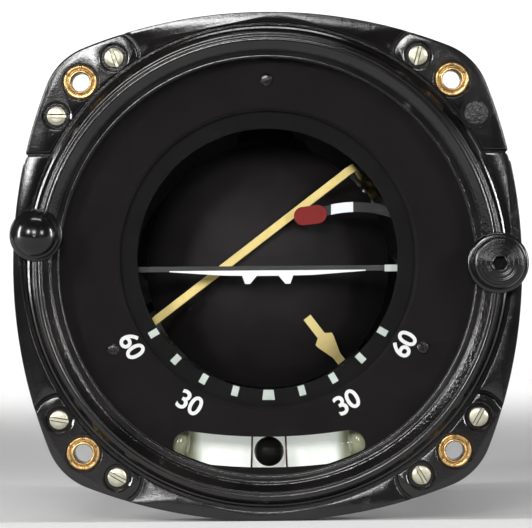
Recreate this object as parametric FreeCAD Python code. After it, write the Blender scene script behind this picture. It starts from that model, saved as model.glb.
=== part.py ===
import FreeCAD, Part
import math
import os

# Attitude indicator: a square-flanged panel instrument with an electric gyro inside.
# The row frame has +Z up and the dial facing -Y. The origin is on the rear face of the
# mounting flange, at the centre of the four panel screws. Sizes are in millimetres.

V = FreeCAD.Vector
ORIGIN = V(0, 0, 0)
AXIS_X = V(1, 0, 0)
AXIS_Y = V(0, 1, 0)
AXIS_Z = V(0, 0, 1)

# ------------------------------------------------------------------ driving sizes
# Square flange and bezel
face_half = 60.3           # centre of the dial to the middle of a side
side_arc_r = 118.0         # bow of each side
lug_centre = face_half - 22.8          # centre of each rounded corner
bolt_half = face_half - 16.3           # panel screws, half of their pitch
bolt_hole_r = 2.3          # bore of each brass bush
edge_round = 0.9           # rounding of the bezel's front edge
flange_t = 6.0             # rear plate of the flange
flange_inset = 0.5         # the rear plate stands back this far from the bezel's edge
lug_t = 4.0                # bezel thickness at its corner lugs
body_rise = 0.6            # side panels stand this far in front of the lugs
groove_t = 0.9             # depth of the grooves below the lugs
groove_w = 0.9             # groove between a lug and the panels beside it
ring_rise = 2.4            # crest of the window ring in front of the panels
lug_end_z = bolt_half - 16.8           # straight lower end of the two upper lugs
notch_r = 2.5              # rounded corner of the side panel below that end

# Window ring, by radius
ring_foot_r = face_half - 2.3
ring_slope_r = ring_foot_r - 1.5
ring_crest_out_r = ring_foot_r - 2.7
ring_crest_in_r = ring_foot_r - 4.2
ring_lip_r = ring_foot_r - 6.5
ring_band_r = ring_lip_r - 0.8
view_r = ring_band_r - 1.2

# Window
glass_r = view_r + 2.35
glass_t = 2.2
gasket_t = 0.8
retainer_t = 1.0
pocket_gap = 0.15          # play of the glass in its pocket

# Bezel screws and bushes
screw_near = bolt_half - 8.0           # smaller coordinate of each screw
screw_far = bolt_half + 5.7            # larger coordinate of each screw
screw_land_r = 5.6         # lug edge around each screw
screw_head_r = 2.3
screw_head_t = 1.5
screw_shank_r = 1.25
screw_slot_w = 0.7
counterbore_r = 3.4
counterbore_t = 1.3
bush_body_r = 3.4
bush_rim_r = 4.0
bush_rim_t = 0.8
bush_collar_r = 3.1
bush_seat_r = 4.6
fit_gap = 0.05             # radial play of every pin, shaft and screw in its hole

# Case and rear end
case_r = view_r + 3.5
case_wall = 1.8
rim_ledge = 1.0            # ledge behind the dial frame
case_lip_t = 5.0           # inner lip at the rear of the case
case_lip_w = 4.2
bead_rise = 0.9
bulkhead_t = 3.0
cover_flange_t = 2.5
cover_r = case_r - 7.2
cover_wall = 1.6
cover_len = 34.0
cover_screw_r = case_r - 2.1           # radius of the rear screw circle
cover_screw_count = 4

# Dial group, by depth
dial_recess = 1.6          # front of the dial frame's web behind the flange joint
web_t = 2.2
mask_t = 1.0
mask_r = view_r - 0.7
mask_chamfer = 0.55
aperture_r = mask_r - 13.6
aperture_up = 1.78         # the aperture's centre stands above the roll axis
scale_inner_r = aperture_r - 4.2
scale_outer_r = aperture_r + 1.2
scale_t = 2.6
scale_sink = 0.6           # tick face behind the mask
mask_screw_r = aperture_r + 7.4        # circle of the three mask screws, about the aperture's centre
mark_w = 1.6
mark_len = 2.4
mark_t = 0.15
bank_angles = (0, 15, 30, 45, 60)

# Slip indicator
slip_arc_r = 125.0
slip_z = 4.65 - mask_r
slip_window_h = 7.3
slip_window_half = mask_r - 25.9
tube_r = 4.2
tube_wall = 0.45
ball_r = 3.55
tube_half_deg = 9.1
wire_x = 4.1

# Aircraft symbol and its carriage
symbol_span = 46.8
symbol_leg_x = 4.8
symbol_top = -0.95
blade_z = 0.1              # top of the support blade
blade_t = 1.3
blade_depth = 3.0
symbol_travel = 5.0
rod_x = aperture_r + 2.8
rod_r = 0.9
rod_half = 14.0

# Trim knob, rack and pinion
trim_x = 3.3 - ring_foot_r
trim_z = 7.8
trim_boss_r = 6.3
trim_knob_r = 5.9
trim_dome_r = 4.7
trim_shaft_r = 1.5
rack_module = 0.5
pinion_teeth = 14

# Caging button
cage_x = ring_foot_r - 3.5
cage_z = 0.4
cage_boss_r = 7.3
cage_cap_r = 6.1
cage_cap_len = 6.0
cage_stem_r = 1.4
cage_travel = 3.0
cage_rod_x = case_r - 3.0
cage_rod_r = 0.9

# Failure flag
flag_pivot = (mask_r - 4.3, 1.0)
flag_arc_centre = (mask_r - 27.8, -13.6)
flag_arm_w = 2.3
flag_t = 0.6
magnet_at = (mask_r - 13.8, -30.0)

# Gimbal and gyro
roll_deg = 37.3            # roll shown: the bar's right end is up
dome_y = 49.0              # centre of the sky dome and pivot of the horizon bar
dome_r = 39.6
dome_rim_r = 29.4
dome_wall = 0.8
bar_w = 1.9
bar_t = 0.8
bar_half = scale_inner_r + 0.4
bar_gap = 1.0              # front of the dome to the back of the bar
bar_offset = 6.2           # bar above the roll axis, as shown
pointer_t = 0.6
gear_module = 0.8
sector_teeth = 61          # teeth of the full circle that the sector is cut from
gyro_pinion_teeth = 24
gear_t = 1.6
arm_in = 25.0              # inner face of the gimbal's front arms
arm_out = 28.5
side_in = 33.0             # inner face of the gimbal's side plates
side_out = 36.0
gimbal_half_h = 9.0
web_gap = 38.0             # gyro trunnion to the gimbal's rear web
rear_web_t = 3.5
gyro_r = 26.5
gyro_half_h = 24.0
gyro_wall = 2.0
trunnion_r = 2.5
rotor_r = 22.0
rotor_half_h = 11.0
roll_shaft_r = 4.0

# Connector
plug_z = -22.0
plug_r = 10.5
plug_wall = 1.7
plug_len = 17.0
plug_flange_half = 13.0

# ------------------------------------------------------------------ derived places
y_joint = -flange_t
y_lug = y_joint - lug_t
y_body = y_lug - body_rise
y_floor = y_lug + groove_t
y_crest = y_body - ring_rise
y_boss = y_crest - 0.5
y_glass = y_joint - retainer_t - gasket_t - glass_t
y_web = y_joint + dial_recess
y_web_back = y_web + web_t
y_mask = y_web - mask_t
y_marks = y_web + scale_sink
y_scale_back = y_marks + scale_t
y_blade = y_scale_back + 1.2
y_flag = y_blade + blade_depth + 2.0
y_bar = dome_y - dome_r - bar_gap - bar_t
y_tube = y_web + tube_r + 0.5
y_seat = -rim_ledge

case_bore_r = case_r - case_wall
rim_r = case_bore_r + 1.0

gear_distance = gear_module * (sector_teeth + gyro_pinion_teeth) / 2
gyro_y = dome_y + gear_distance
rear_web_y = gyro_y + web_gap
y_case_end = rear_web_y + rear_web_t + 1.5
y_bulkhead_back = y_case_end + bulkhead_t
y_cover_end = y_bulkhead_back + cover_flange_t + cover_len
y_bead = y_case_end - 68.0
bar_tilt_deg = -math.degrees(math.asin(bar_offset / (dome_y - y_bar - bar_t / 2)))
gyro_pitch_deg = -bar_tilt_deg * sector_teeth / gyro_pinion_teeth
dome_rim_y = dome_y - math.sqrt(dome_r ** 2 - dome_rim_r ** 2)
gear_x = side_out + 1.2    # inner face of the gear pair
y_shaft_end = y_cover_end - 5.5


# ------------------------------------------------------------------ helpers
def cyl(r, y0, y1, x=0.0, z=0.0):
    """Cylinder along Y from y0 to y1."""
    return Part.makeCylinder(r, y1 - y0, V(x, y0, z), AXIS_Y)


def ring(r_out, r_in, y0, y1, x=0.0, z=0.0):
    """Flat ring about an axis along Y."""
    return cyl(r_out, y0, y1, x, z).cut(cyl(r_in, y0 - 1, y1 + 1, x, z))


def cross_cyl(r, x0, x1, y, z=0.0):
    """Cylinder along X from x0 to x1."""
    return Part.makeCylinder(r, x1 - x0, V(x0, y, z), AXIS_X)


def block(x0, x1, y0, y1, z0, z1):
    """Box between two corners, given in any order."""
    low = V(min(x0, x1), min(y0, y1), min(z0, z1))
    return Part.makeBox(abs(x1 - x0), abs(y1 - y0), abs(z1 - z0), low)


def turned(points):
    """Solid of revolution about the Y axis from (radius, y) points."""
    wire = Part.makePolygon([V(r, y, 0) for r, y in points + points[:1]])
    return Part.Face(wire).revolve(ORIGIN, AXIS_Y, 360)


def plate(points, y0, y1):
    """Flat plate with an outline of (x, z) points and its thickness along Y."""
    wire = Part.makePolygon([V(x, y0, z) for x, z in points + points[:1]])
    return Part.Face(wire).extrude(V(0, y1 - y0, 0))


def fuse_all(shapes):
    """One solid from several that touch or overlap."""
    return shapes[0].multiFuse(shapes[1:]).removeSplitter()


def cut_all(shape, tools):
    """The shape with every tool removed."""
    return shape.cut(Part.makeCompound(tools))


def moved(shape, x=0.0, y=0.0, z=0.0):
    """Copy of the shape, shifted."""
    copy = shape.copy()
    copy.translate(V(x, y, z))
    return copy


def spun(shape, degrees, centre, axis):
    """Copy of the shape, turned about an axis."""
    copy = shape.copy()
    copy.rotate(centre, axis, degrees)
    return copy


def mirrored_x(shape):
    """Copy of the shape, mirrored left to right."""
    return shape.mirror(ORIGIN, AXIS_X)


def rolled(shape):
    """From the upright gimbal to the roll that is shown."""
    return spun(shape, -roll_deg, ORIGIN, AXIS_Y)


def pitched(shape):
    """From the upright gyro to the pitch and roll that are shown."""
    return rolled(spun(shape, gyro_pitch_deg, V(0, gyro_y, 0), AXIS_X))


def tilted_bar(shape):
    """From the centred horizon bar to the height and roll that are shown."""
    return rolled(spun(shape, bar_tilt_deg, V(0, dome_y, 0), AXIS_X))


def save(name, shape):
    """Write one node."""
    if not shape.isValid():
        raise ValueError(name + " is not valid")
    shape.exportStep("parts/" + name + ".step")


def save_group(name, solids):
    """Write one node of several separate solids."""
    save(name, Part.makeCompound(solids))


# ------------------------------------------------------------------ bezel and flange
def square_outline(inset, y0, y1, rounding=0.0):
    """Bowed square with rounded corners, from y0 forward to y1."""
    half = face_half - inset
    side_r = side_arc_r - inset
    back = side_r - half
    reach = math.hypot(lug_centre, lug_centre + back)
    corner_r = side_r - reach
    tx = side_r * lug_centre / reach
    tz = side_r * (lug_centre + back) / reach - back
    far = lug_centre + corner_r * math.sqrt(0.5)
    side = (V(-tx, y0, tz), V(0, y0, half), V(tx, y0, tz))
    corner = (V(tx, y0, tz), V(far, y0, far), V(tz, y0, tx))
    edges = []
    for quarter in range(4):
        turn = FreeCAD.Rotation(AXIS_Y, 90 * quarter)
        for a, b, c in (side, corner):
            arc = Part.Arc(turn.multVec(a), turn.multVec(b), turn.multVec(c))
            edges.append(arc.toShape())
    solid = Part.Face(Part.Wire(edges)).extrude(V(0, y1 - y0, 0))
    if rounding == 0.0:
        return solid
    front = [e for e in solid.Edges if all(abs(v.Y - y1) < 1e-6 for v in e.Vertexes)]
    return solid.makeFillet(rounding, front)


def corner_points():
    """Signs of the four corners."""
    return [(sx, sz) for sz in (1, -1) for sx in (-1, 1)]


def bezel_screw_places():
    """The eight bezel screws: two in each lug."""
    places = []
    for sx, sz in corner_points():
        places.append((sx * screw_near, sz * screw_far))
        places.append((sx * screw_far, sz * screw_near))
    return places


def lug_area(grow, straight_end):
    """Extent of the lug in the +X +Z corner, as a tall column, grown on its inner sides."""
    far = face_half + 10
    y0 = y_body - 10
    low = screw_near - grow
    parts = [block(low, far, y0, y_joint, low, far)]
    parts.append(cyl(screw_land_r + grow, y0, y_joint, screw_near, screw_far))
    parts.append(cyl(screw_land_r + grow, y0, y_joint, screw_far, screw_near))
    if straight_end:
        parts.append(block(screw_near, far, y0, y_joint, lug_end_z - grow, screw_near + 1))
    return fuse_all(parts)


def in_corner(shape, sx, sz):
    """The shape of the +X +Z corner, mirrored to another corner."""
    if sx < 0:
        shape = mirrored_x(shape)
    if sz < 0:
        shape = shape.mirror(ORIGIN, AXIS_Z)
    return shape


def side_notch(y0, y1):
    """Notch in the outline under an upper lug: the panel's corner is rounded there."""
    back = side_arc_r - face_half
    edge_x = math.sqrt(side_arc_r ** 2 - lug_end_z ** 2) - back
    cx = edge_x - notch_r + 0.2
    cz = lug_end_z - notch_r
    return block(cx, edge_x + 5, y0, y1, cz, lug_end_z).cut(cyl(notch_r, y0 - 1, y1 + 1, cx, cz))


def bezel():
    base = square_outline(0.0, y_joint, y_floor)
    panels = square_outline(0.0, y_joint, y_body, edge_round)
    lugs = square_outline(0.0, y_joint, y_lug, edge_round)
    centre = cyl(ring_foot_r, y_body - 11, 1)
    column = []
    parts = [base]
    for sx, sz in corner_points():
        column.append(in_corner(lug_area(groove_w, sz > 0), sx, sz))
        parts.append(lugs.common(in_corner(lug_area(0.0, sz > 0), sx, sz)).cut(centre))
    parts.append(cut_all(panels, column + [centre]))
    parts.append(turned([
        (view_r, y_joint), (ring_slope_r, y_joint), (ring_slope_r, y_body),
        (ring_crest_out_r, y_crest + 0.15), (ring_crest_out_r - 0.25, y_crest),
        (ring_crest_in_r + 0.2, y_crest), (ring_crest_in_r, y_crest + 0.2),
        (ring_lip_r, y_body - 0.9), (ring_lip_r - 0.15, y_body - 0.5),
        (ring_band_r, y_body - 0.4), (view_r, y_body + 0.1)]))
    parts.append(cyl(trim_boss_r, y_boss, y_joint, trim_x, trim_z))
    parts.append(cyl(cage_boss_r, y_boss, y_joint, cage_x, cage_z))
    body = fuse_all(parts)
    cuts = [cyl(view_r, y_boss - 1, 1)]
    cuts.append(cyl(glass_r + pocket_gap, y_glass, 1))
    for x, z in bezel_screw_places():
        cuts.append(cyl(counterbore_r, y_lug - 5, y_lug + counterbore_t, x, z))
        cuts.append(cyl(screw_shank_r + fit_gap, y_lug, 1, x, z))
    for sx, sz in corner_points():
        x, z = sx * bolt_half, sz * bolt_half
        cuts.append(cyl(bush_seat_r, y_lug - 5, y_lug + bush_rim_t, x, z))
        cuts.append(cyl(bush_body_r + fit_gap, y_lug, 1, x, z))
        if sz > 0:
            cuts.append(in_corner(side_notch(y_body - 1, 1), sx, sz))
    cuts.append(cyl(counterbore_r + 0.6, y_lug - 5, y_lug, screw_far, screw_near))
    cuts.append(cyl(trim_bush_r, y_boss - 1, 1, trim_x, trim_z))
    cuts.append(cyl(cage_tube_r, y_boss - 1, 1, cage_x, cage_z))
    return cut_all(body, cuts)


def slotted_screw(x, z, y_seat_face, head_r, head_t, shank_r, length, slot_w, turn):
    """Cheese-head screw seated on a face that looks towards -Y."""
    head = cyl(head_r, y_seat_face - head_t, y_seat_face, x, z)
    slot = block(x - head_r - 1, x + head_r + 1, y_seat_face - head_t - 1,
                 y_seat_face - head_t * 0.55, z - slot_w / 2, z + slot_w / 2)
    slot.rotate(V(x, 0, z), AXIS_Y, -turn)
    shank = cyl(shank_r, y_seat_face, y_seat_face + length, x, z)
    return head.cut(slot).fuse(shank).removeSplitter()


def bezel_screws():
    turns = (-70, 0, 75, 40, -30, -10, -60, 60)
    solids = []
    for (x, z), turn in zip(bezel_screw_places(), turns):
        seat = y_lug + counterbore_t
        length = y_joint - seat + flange_t - 1.2
        solids.append(slotted_screw(x, z, seat, screw_head_r, screw_head_t,
                                    screw_shank_r, length, screw_slot_w, turn))
    return solids


def seal_cup():
    """Thin cup pressed into one counterbore, over the screw head."""
    y_front = y_lug - 0.5
    y_floor = y_lug + counterbore_t
    outer = cyl(counterbore_r - fit_gap, y_front, y_floor, screw_far, screw_near)
    inside = cyl(counterbore_r - 0.55, y_front - 1, y_floor + 1, screw_far, screw_near)
    rim = ring(counterbore_r + 0.55, counterbore_r - 0.55, y_front, y_lug, screw_far, screw_near)
    return outer.cut(inside).fuse(rim).removeSplitter()


def seal_plug():
    """Mastic that fills the cup over the screw head, crowned in front."""
    y_back = y_lug + counterbore_t - screw_head_t - 0.05
    r = counterbore_r - 0.6
    crown_r = 9.0
    crown = Part.makeSphere(crown_r, V(screw_far, y_back - 0.75 + crown_r, screw_near))
    return cyl(r, y_back - 2, y_back, screw_far, screw_near).common(crown)


def flange_bush():
    """Brass bush: a tube staked into the flange, with a rim, a collar and six stakes."""
    y_rim = y_lug
    tube = cyl(bush_body_r, y_rim + bush_rim_t, 0.0)
    rim = cyl(bush_rim_r, y_rim, y_rim + bush_rim_t)
    collar = cyl(bush_collar_r, y_rim - 0.3, y_rim)
    solid = fuse_all([tube, rim, collar])
    cuts = [cyl(bolt_hole_r, y_rim - 2, 1)]
    for k in range(6):
        a = math.radians(30 + 60 * k)
        stake_r = (bush_collar_r + bush_rim_r) / 2
        cuts.append(cyl(0.28, y_rim - 1, y_rim + 0.4, stake_r * math.cos(a), stake_r * math.sin(a)))
    return cut_all(solid, cuts)


def flange_bushes():
    return [moved(flange_bush(), x=sx * bolt_half, z=sz * bolt_half) for sx, sz in corner_points()]


def window_glass():
    return cyl(glass_r, y_glass, y_glass + glass_t)


def glass_gasket():
    return ring(glass_r, view_r, y_glass + glass_t, y_glass + glass_t + gasket_t)


def glass_retainer():
    """Split spring ring that holds the glass and its gasket in the bezel."""
    whole = ring(glass_r, view_r, y_joint - retainer_t, y_joint)
    return whole.cut(block(-1.5, 1.5, y_joint - 5, 1, view_r - 2, glass_r + 2))


# ------------------------------------------------------------------ case and rear end
def trim_pocket():
    """Room in the flange for the pinion and the rack over its travel."""
    r = pinion_tip_r + 0.35
    gear_room = cyl(r, y_joint - 1, y_pinion_back + 0.3, trim_x, trim_z)
    reach = rack_half + symbol_travel + 0.8
    strip = block(rack_line_x - 1.2, -case_bore_r + 4.5, y_joint - 1, y_pinion_back + 0.3,
                  trim_z - reach, trim_z + reach)
    return gear_room.fuse(strip)


def cage_pocket():
    """Room in the flange for the caging arm over its travel."""
    half = cage_arm_half + 0.5
    round_end = cyl(half, y_joint - 1, -0.5, cage_x, cage_z)
    strip = block(case_bore_r - 4, cage_x, y_joint - 1, -0.5, cage_z - half, cage_z + half)
    return round_end.fuse(strip)


def flange_cuts():
    """Everything that is cut through the flange and the front end of the barrel."""
    cuts = [cyl(rim_r + fit_gap, y_joint - 1, y_seat)]
    for x, z in bezel_screw_places():
        cuts.append(cyl(screw_shank_r + fit_gap, y_joint - 1, -0.6, x, z))
    for sx, sz in corner_points():
        cuts.append(cyl(bush_body_r + fit_gap, y_joint - 1, 1, sx * bolt_half, sz * bolt_half))
    cuts.append(trim_pocket())
    cuts.append(cyl(1.0 + fit_gap, y_joint, -0.3, trim_x, trim_z))
    cuts.append(cage_pocket())
    for sx in (-1, 1):
        cuts.append(in_corner(side_notch(y_joint - 1, 1), sx, 1))
    return cuts


def mount_flange():
    """Square rear plate of the flange, shrunk on the barrel."""
    body = square_outline(flange_inset, 0.0, y_joint)
    return cut_all(body, flange_cuts() + [cyl(case_r, y_joint - 1, 1)])


def case_body():
    """Round barrel with a stiffening bead and a lip at the rear."""
    shell = turned([
        (0, y_joint), (case_r, y_joint), (case_r, y_bead), (case_r + bead_rise, y_bead + 1),
        (case_r + bead_rise, y_bead + 4), (case_r, y_bead + 5), (case_r, y_case_end - 1),
        (case_r - 1, y_case_end), (0, y_case_end)])
    lip_r = case_bore_r - case_lip_w
    cuts = flange_cuts()
    cuts.append(cyl(case_bore_r, y_joint - 1, y_case_end - case_lip_t))
    cuts.append(cyl(lip_r, y_case_end - case_lip_t - 1, y_case_end + 1))
    for x, z in rear_screw_places():
        cuts.append(cyl(1.25 + fit_gap, y_case_end - case_lip_t - 1, y_case_end + 1, x, z))
    cuts.append(cyl(cage_rod_r + 0.15, y_case_end - case_lip_t - 1, y_case_end + 1, cage_rod_x, cage_z))
    return cut_all(shell, cuts)


def rear_screw_places():
    """The screws that hold the rear cover and the bulkhead on the case."""
    places = []
    for k in range(cover_screw_count):
        a = math.radians(45 + 360 / cover_screw_count * k)
        places.append(((cover_screw_r - 2.2) * math.cos(a), (cover_screw_r - 2.2) * math.sin(a)))
    return places


def bulkhead():
    """Rear plate with the front roll bearing and three posts for the rear one."""
    plate_r = case_r - 0.2
    disc = cyl(plate_r, y_case_end, y_bulkhead_back)
    boss = cyl(bearing_r + 3, y_case_end, y_case_end + bearing_t + 1.5)
    parts = [disc, boss]
    for k in range(3):
        a = math.radians(30 + 120 * k)
        parts.append(cyl(2.2, y_case_end, y_bridge, post_circle_r * math.cos(a), post_circle_r * math.sin(a)))
    body = fuse_all(parts)
    cuts = [cyl(bearing_r + 0.02, y_case_end - 1, y_case_end + bearing_t)]
    cuts.append(cyl(roll_shaft_r + 2, y_case_end - 1, y_bridge))
    for k in range(3):
        a = math.radians(90 + 120 * k)
        cuts.append(cyl(7.5, y_case_end - 1, y_bridge, 32 * math.cos(a), 32 * math.sin(a)))
    for x, z in rear_screw_places():
        cuts.append(cyl(1.25 + fit_gap, y_case_end - 1, y_bridge, x, z))
    cuts.append(cyl(cage_rod_r + 0.15, y_case_end - 1, y_bridge, cage_rod_x, cage_z))
    return cut_all(body, cuts)


def bearing_bridge():
    """Three-armed plate on the posts, with the rear roll bearing."""
    parts = [cyl(bearing_r + 3, y_bridge, y_bridge + bearing_t)]
    for k in range(3):
        a = 30 + 120 * k
        arm = block(0, post_circle_r, y_bridge, y_bridge + 3, -3, 3)
        end = cyl(3, y_bridge, y_bridge + 3, post_circle_r, 0)
        parts.append(spun(arm.fuse(end), -a, ORIGIN, AXIS_Y))
    body = fuse_all(parts)
    return body.cut(cyl(bearing_r + 0.02, y_bridge - 1, y_bridge + bearing_t + 1))


def ball_race(y0, centre_gap=0.0):
    """Roll bearing: two grooved rings and a ring of balls, kept as one closed piece."""
    outer = ring(bearing_r, bearing_r - 1.5, y0, y0 + bearing_t)
    inner = ring(roll_shaft_r + 1.4 + centre_gap, roll_shaft_r + fit_gap, y0, y0 + bearing_t)
    shield = ring(bearing_r - 1.5, roll_shaft_r + 1.4, y0 + 0.5, y0 + bearing_t - 0.5)
    return fuse_all([outer, inner, shield])


def rear_cover():
    y0 = y_bulkhead_back
    y1 = y0 + cover_flange_t
    outer = turned([
        (0, y0), (case_r, y0), (case_r, y1), (cover_r, y1), (cover_r, y_cover_end - 7),
        (cover_r - 1.2, y_cover_end - 3), (cover_r - 4.5, y_cover_end), (0, y_cover_end)])
    inner = turned([
        (0, y0 - 1), (cover_r - cover_wall, y0 - 1), (cover_r - cover_wall, y_cover_end - 7.6),
        (cover_r - 4.9, y_cover_end - cover_wall), (0, y_cover_end - cover_wall)])
    cuts = [inner, cyl(plug_r - plug_wall, y0, y_cover_end + 1, 0, plug_z)]
    for x, z in rear_screw_places():
        cuts.append(cyl(1.25 + fit_gap, y0 - 1, y1 + 1, x, z))
        cuts.append(cyl(2.7, y1 - 0.9, y1 + 1, x, z))
    for sx in (-1, 1):
        for sz in (-1, 1):
            hole_x, hole_z = sx * plug_screw_at, plug_z + sz * plug_screw_at
            cuts.append(cyl(0.9 + fit_gap, y_cover_end - cover_wall - 1, y_cover_end + 1, hole_x, hole_z))
    return cut_all(outer, cuts)


def rear_screws():
    y_face = y_bulkhead_back + cover_flange_t - 0.9
    solids = []
    for x, z in rear_screw_places():
        head = cyl(2.3, y_face, y_face + 1.4, x, z)
        slot = block(x - 4, x + 4, y_face + 0.7, y_face + 3, z - 0.35, z + 0.35)
        shank = cyl(1.25, y_case_end - case_lip_t + 0.5, y_face, x, z)
        solids.append(head.cut(slot).fuse(shank).removeSplitter())
    return solids


# ------------------------------------------------------------------ dial group
def along_bank(angle_deg, radius):
    """Point on the dial at an angle from the bottom, counted towards +X."""
    a = math.radians(angle_deg)
    return (radius * math.sin(a), -radius * math.cos(a))


def mask_screw_places():
    places = []
    for deg in (90, 210, 330):
        a = math.radians(deg)
        places.append((mask_screw_r * math.cos(a), aperture_up + mask_screw_r * math.sin(a)))
    return places


def slip_slot(half_x, half_h, y0, y1):
    """Curved slot about the slip tube's centre line, with rounded ends."""
    centre_z = slip_z + slip_arc_r
    band = ring(slip_arc_r + half_h, slip_arc_r - half_h, y0, y1, 0, centre_z)
    keep = half_x - half_h
    middle = band.common(block(-keep, keep, y0 - 1, y1 + 1, slip_z - 20, slip_z + 20))
    end_z = centre_z - math.sqrt(slip_arc_r ** 2 - keep ** 2)
    ends = [cyl(half_h, y0, y1, sx * keep, end_z) for sx in (-1, 1)]
    return fuse_all([middle] + ends)


def dial_mask():
    disc = cyl(mask_r, y_mask, y_web)
    hole = cyl(aperture_r, y_mask - 1, y_web + 1, 0, aperture_up)
    bevel = Part.makeCone(aperture_r + mask_chamfer, aperture_r, mask_chamfer,
                          V(0, y_mask, aperture_up), AXIS_Y)
    window = slip_slot(slip_window_half, slip_window_h / 2, y_mask - 1, y_web + 1)
    window = window.common(cyl(mask_r - 0.55, y_mask - 2, y_web + 2))
    cuts = [hole, bevel, window]
    for x, z in mask_screw_places():
        cuts.append(cyl(0.8 + fit_gap, y_mask - 1, y_web + 1, x, z))
    return cut_all(disc, cuts)


def mask_screws():
    solids = []
    for (x, z), turn in zip(mask_screw_places(), (20, 15, -55)):
        length = y_scale_back - y_mask + 0.2
        solids.append(slotted_screw(x, z, y_mask, 1.5, 0.7, 0.8, length, 0.4, turn))
    return solids


def dial_frame():
    """Front casting: rim, web, rod lugs and the flag's post."""
    rim = cyl(rim_r, y_joint, y_seat).cut(cyl(rim_r - 1.8, y_joint - 1, y_seat + 1))
    web = cyl(rim_r - 1.0, y_web, y_web_back)
    parts = [rim, web]
    for sx in (-1, 1):
        for sz in (-1, 1):
            z_mid = sz * (rod_half - 1)
            parts.append(block(sx * (rod_x - 2), sx * (rod_x + 2), y_web, y_rod + 1.6,
                               z_mid - 1.5, z_mid + 1.5))
    px, pz = flag_pivot
    parts.append(cyl(2.2, y_web, y_flag - 0.4, px, pz))
    parts.append(cyl(1.2, y_web, y_flag + flag_t + 0.6, px, pz))
    body = fuse_all(parts)
    cuts = [cyl(scale_outer_r + fit_gap, y_web - 1, y_web_back + 0.5, 0, aperture_up)]
    cuts.append(slip_slot(26, tube_r + 0.9, y_web - 1, y_seat + 1))
    for x, z in mask_screw_places():
        cuts.append(cyl(0.8 + fit_gap, y_web - 1, y_web_back + 1, x, z))
    for sx in (-1, 1):
        cuts.append(Part.makeCylinder(rod_r, 2 * rod_half, V(sx * rod_x, y_rod, -rod_half), AXIS_Z))
    reach = rack_half + symbol_travel + 0.8
    cuts.append(block(-60, rack_line_x + 5.2, y_joint - 1, y_seat + 1, trim_z - reach, trim_z + reach))
    cuts.append(cyl(pinion_tip_r + 0.35, y_joint - 1, y_seat + 1, trim_x, trim_z))
    cuts.append(block(cage_rod_x - 2.0, 60, y_joint - 1, y_seat + 1,
                      cage_z - cage_arm_half - 0.5, cage_z + cage_arm_half + 0.5))
    return cut_all(body, cuts)


def guide_rods():
    length = 2 * rod_half - 0.2
    return [Part.makeCylinder(rod_r, length, V(sx * rod_x, y_rod, 0.1 - rod_half), AXIS_Z)
            for sx in (-1, 1)]


def scale_ring():
    """Eccentric ring that carries the bank marks, with three ears on the mask screws."""
    body = ring(scale_outer_r, scale_inner_r, y_marks, y_scale_back, 0, aperture_up)
    bevel = Part.makeCone(scale_inner_r, scale_inner_r + 0.8, 0.8,
                          V(0, y_scale_back - 0.8, aperture_up), AXIS_Y)
    parts = [body.cut(bevel)]
    for x, z in mask_screw_places():
        toward = math.degrees(math.atan2(z - aperture_up, x))
        ear = block(scale_inner_r + 2, mask_screw_r, y_web_back, y_scale_back, -2.4, 2.4)
        ear = ear.fuse(cyl(2.4, y_web_back, y_scale_back, mask_screw_r, 0))
        ear = spun(ear, -toward, ORIGIN, AXIS_Y)
        parts.append(moved(ear, z=aperture_up))
    whole = fuse_all(parts)
    holes = [cyl(0.8 + fit_gap, y_web, y_scale_back + 1, x, z) for x, z in mask_screw_places()]
    return cut_all(whole, holes)


def bank_marks():
    """Painted bank marks at the bottom of the scale, at equal angles about the roll axis."""
    solids = []
    for deg in sorted({s * a for a in bank_angles for s in (-1, 1)}):
        a = math.radians(deg)
        inner = -aperture_up * math.cos(a) + math.sqrt(scale_inner_r ** 2 - (aperture_up * math.sin(a)) ** 2)
        half_in = mark_w * (0.75 if deg == 0 else 0.5)
        half_out = mark_w * (0.95 if deg == 0 else 0.5)
        r0 = inner + 0.15
        r1 = r0 + mark_len
        shape = plate([(-half_in, -r0), (half_in, -r0), (half_out, -r1), (-half_out, -r1)],
                      y_marks - mark_t, y_marks)
        solids.append(spun(shape, -deg, ORIGIN, AXIS_Y))
    return solids


def zero_mark():
    """Fixed tab beside the symbol, screwed behind the scale ring."""
    y0 = y_scale_back
    return block(27.9, 33.6, y0, y0 + 0.5, -1.4, 0.2)


def slip_disc(radius):
    """Disc across the slip tube's centre line, at its lowest point."""
    centre = V(0, y_tube, slip_z)
    return Part.Face(Part.Wire(Part.makeCircle(radius, centre, AXIS_X)))


def slip_bend(radius, half_deg):
    """Bent rod along the slip tube's centre line."""
    disc = slip_disc(radius)
    axis_at = V(0, y_tube, slip_z + slip_arc_r)
    disc.rotate(axis_at, AXIS_Y, -half_deg)
    return disc.revolve(axis_at, AXIS_Y, 2 * half_deg)


def slip_tube():
    """Bent glass tube, closed at both ends, with a drawn tip at each."""
    axis_at = V(0, y_tube, slip_z + slip_arc_r)
    outer = slip_bend(tube_r, tube_half_deg)
    tips = []
    for side in (-1, 1):
        cone = Part.makeCone(tube_r * 0.86, 1.2, 1.4, V(0, y_tube, slip_z), AXIS_X)
        tip = cross_cyl(1.2, 1.2, 2.6, y_tube, slip_z)
        end = cone.fuse(tip)
        if side < 0:
            end = mirrored_x(end)
        tips.append(spun(end, -side * tube_half_deg, axis_at, AXIS_Y))
    solid = fuse_all([outer] + tips)
    hollow = slip_bend(tube_r - tube_wall, tube_half_deg - 0.3)
    return solid.cut(hollow)


def slip_wires():
    """Two marker rings round the tube, one each side of the centred ball."""
    axis_at = V(0, y_tube, slip_z + slip_arc_r)
    solids = []
    for side in (-1, 1):
        outer = cross_cyl(tube_r + 0.35, -0.22, 0.22, y_tube, slip_z)
        inner = cross_cyl(tube_r + 0.03, -1, 1, y_tube, slip_z)
        angle = math.degrees(math.asin(wire_x / slip_arc_r))
        solids.append(spun(outer.cut(inner), -side * angle, axis_at, AXIS_Y))
    return solids


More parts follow.
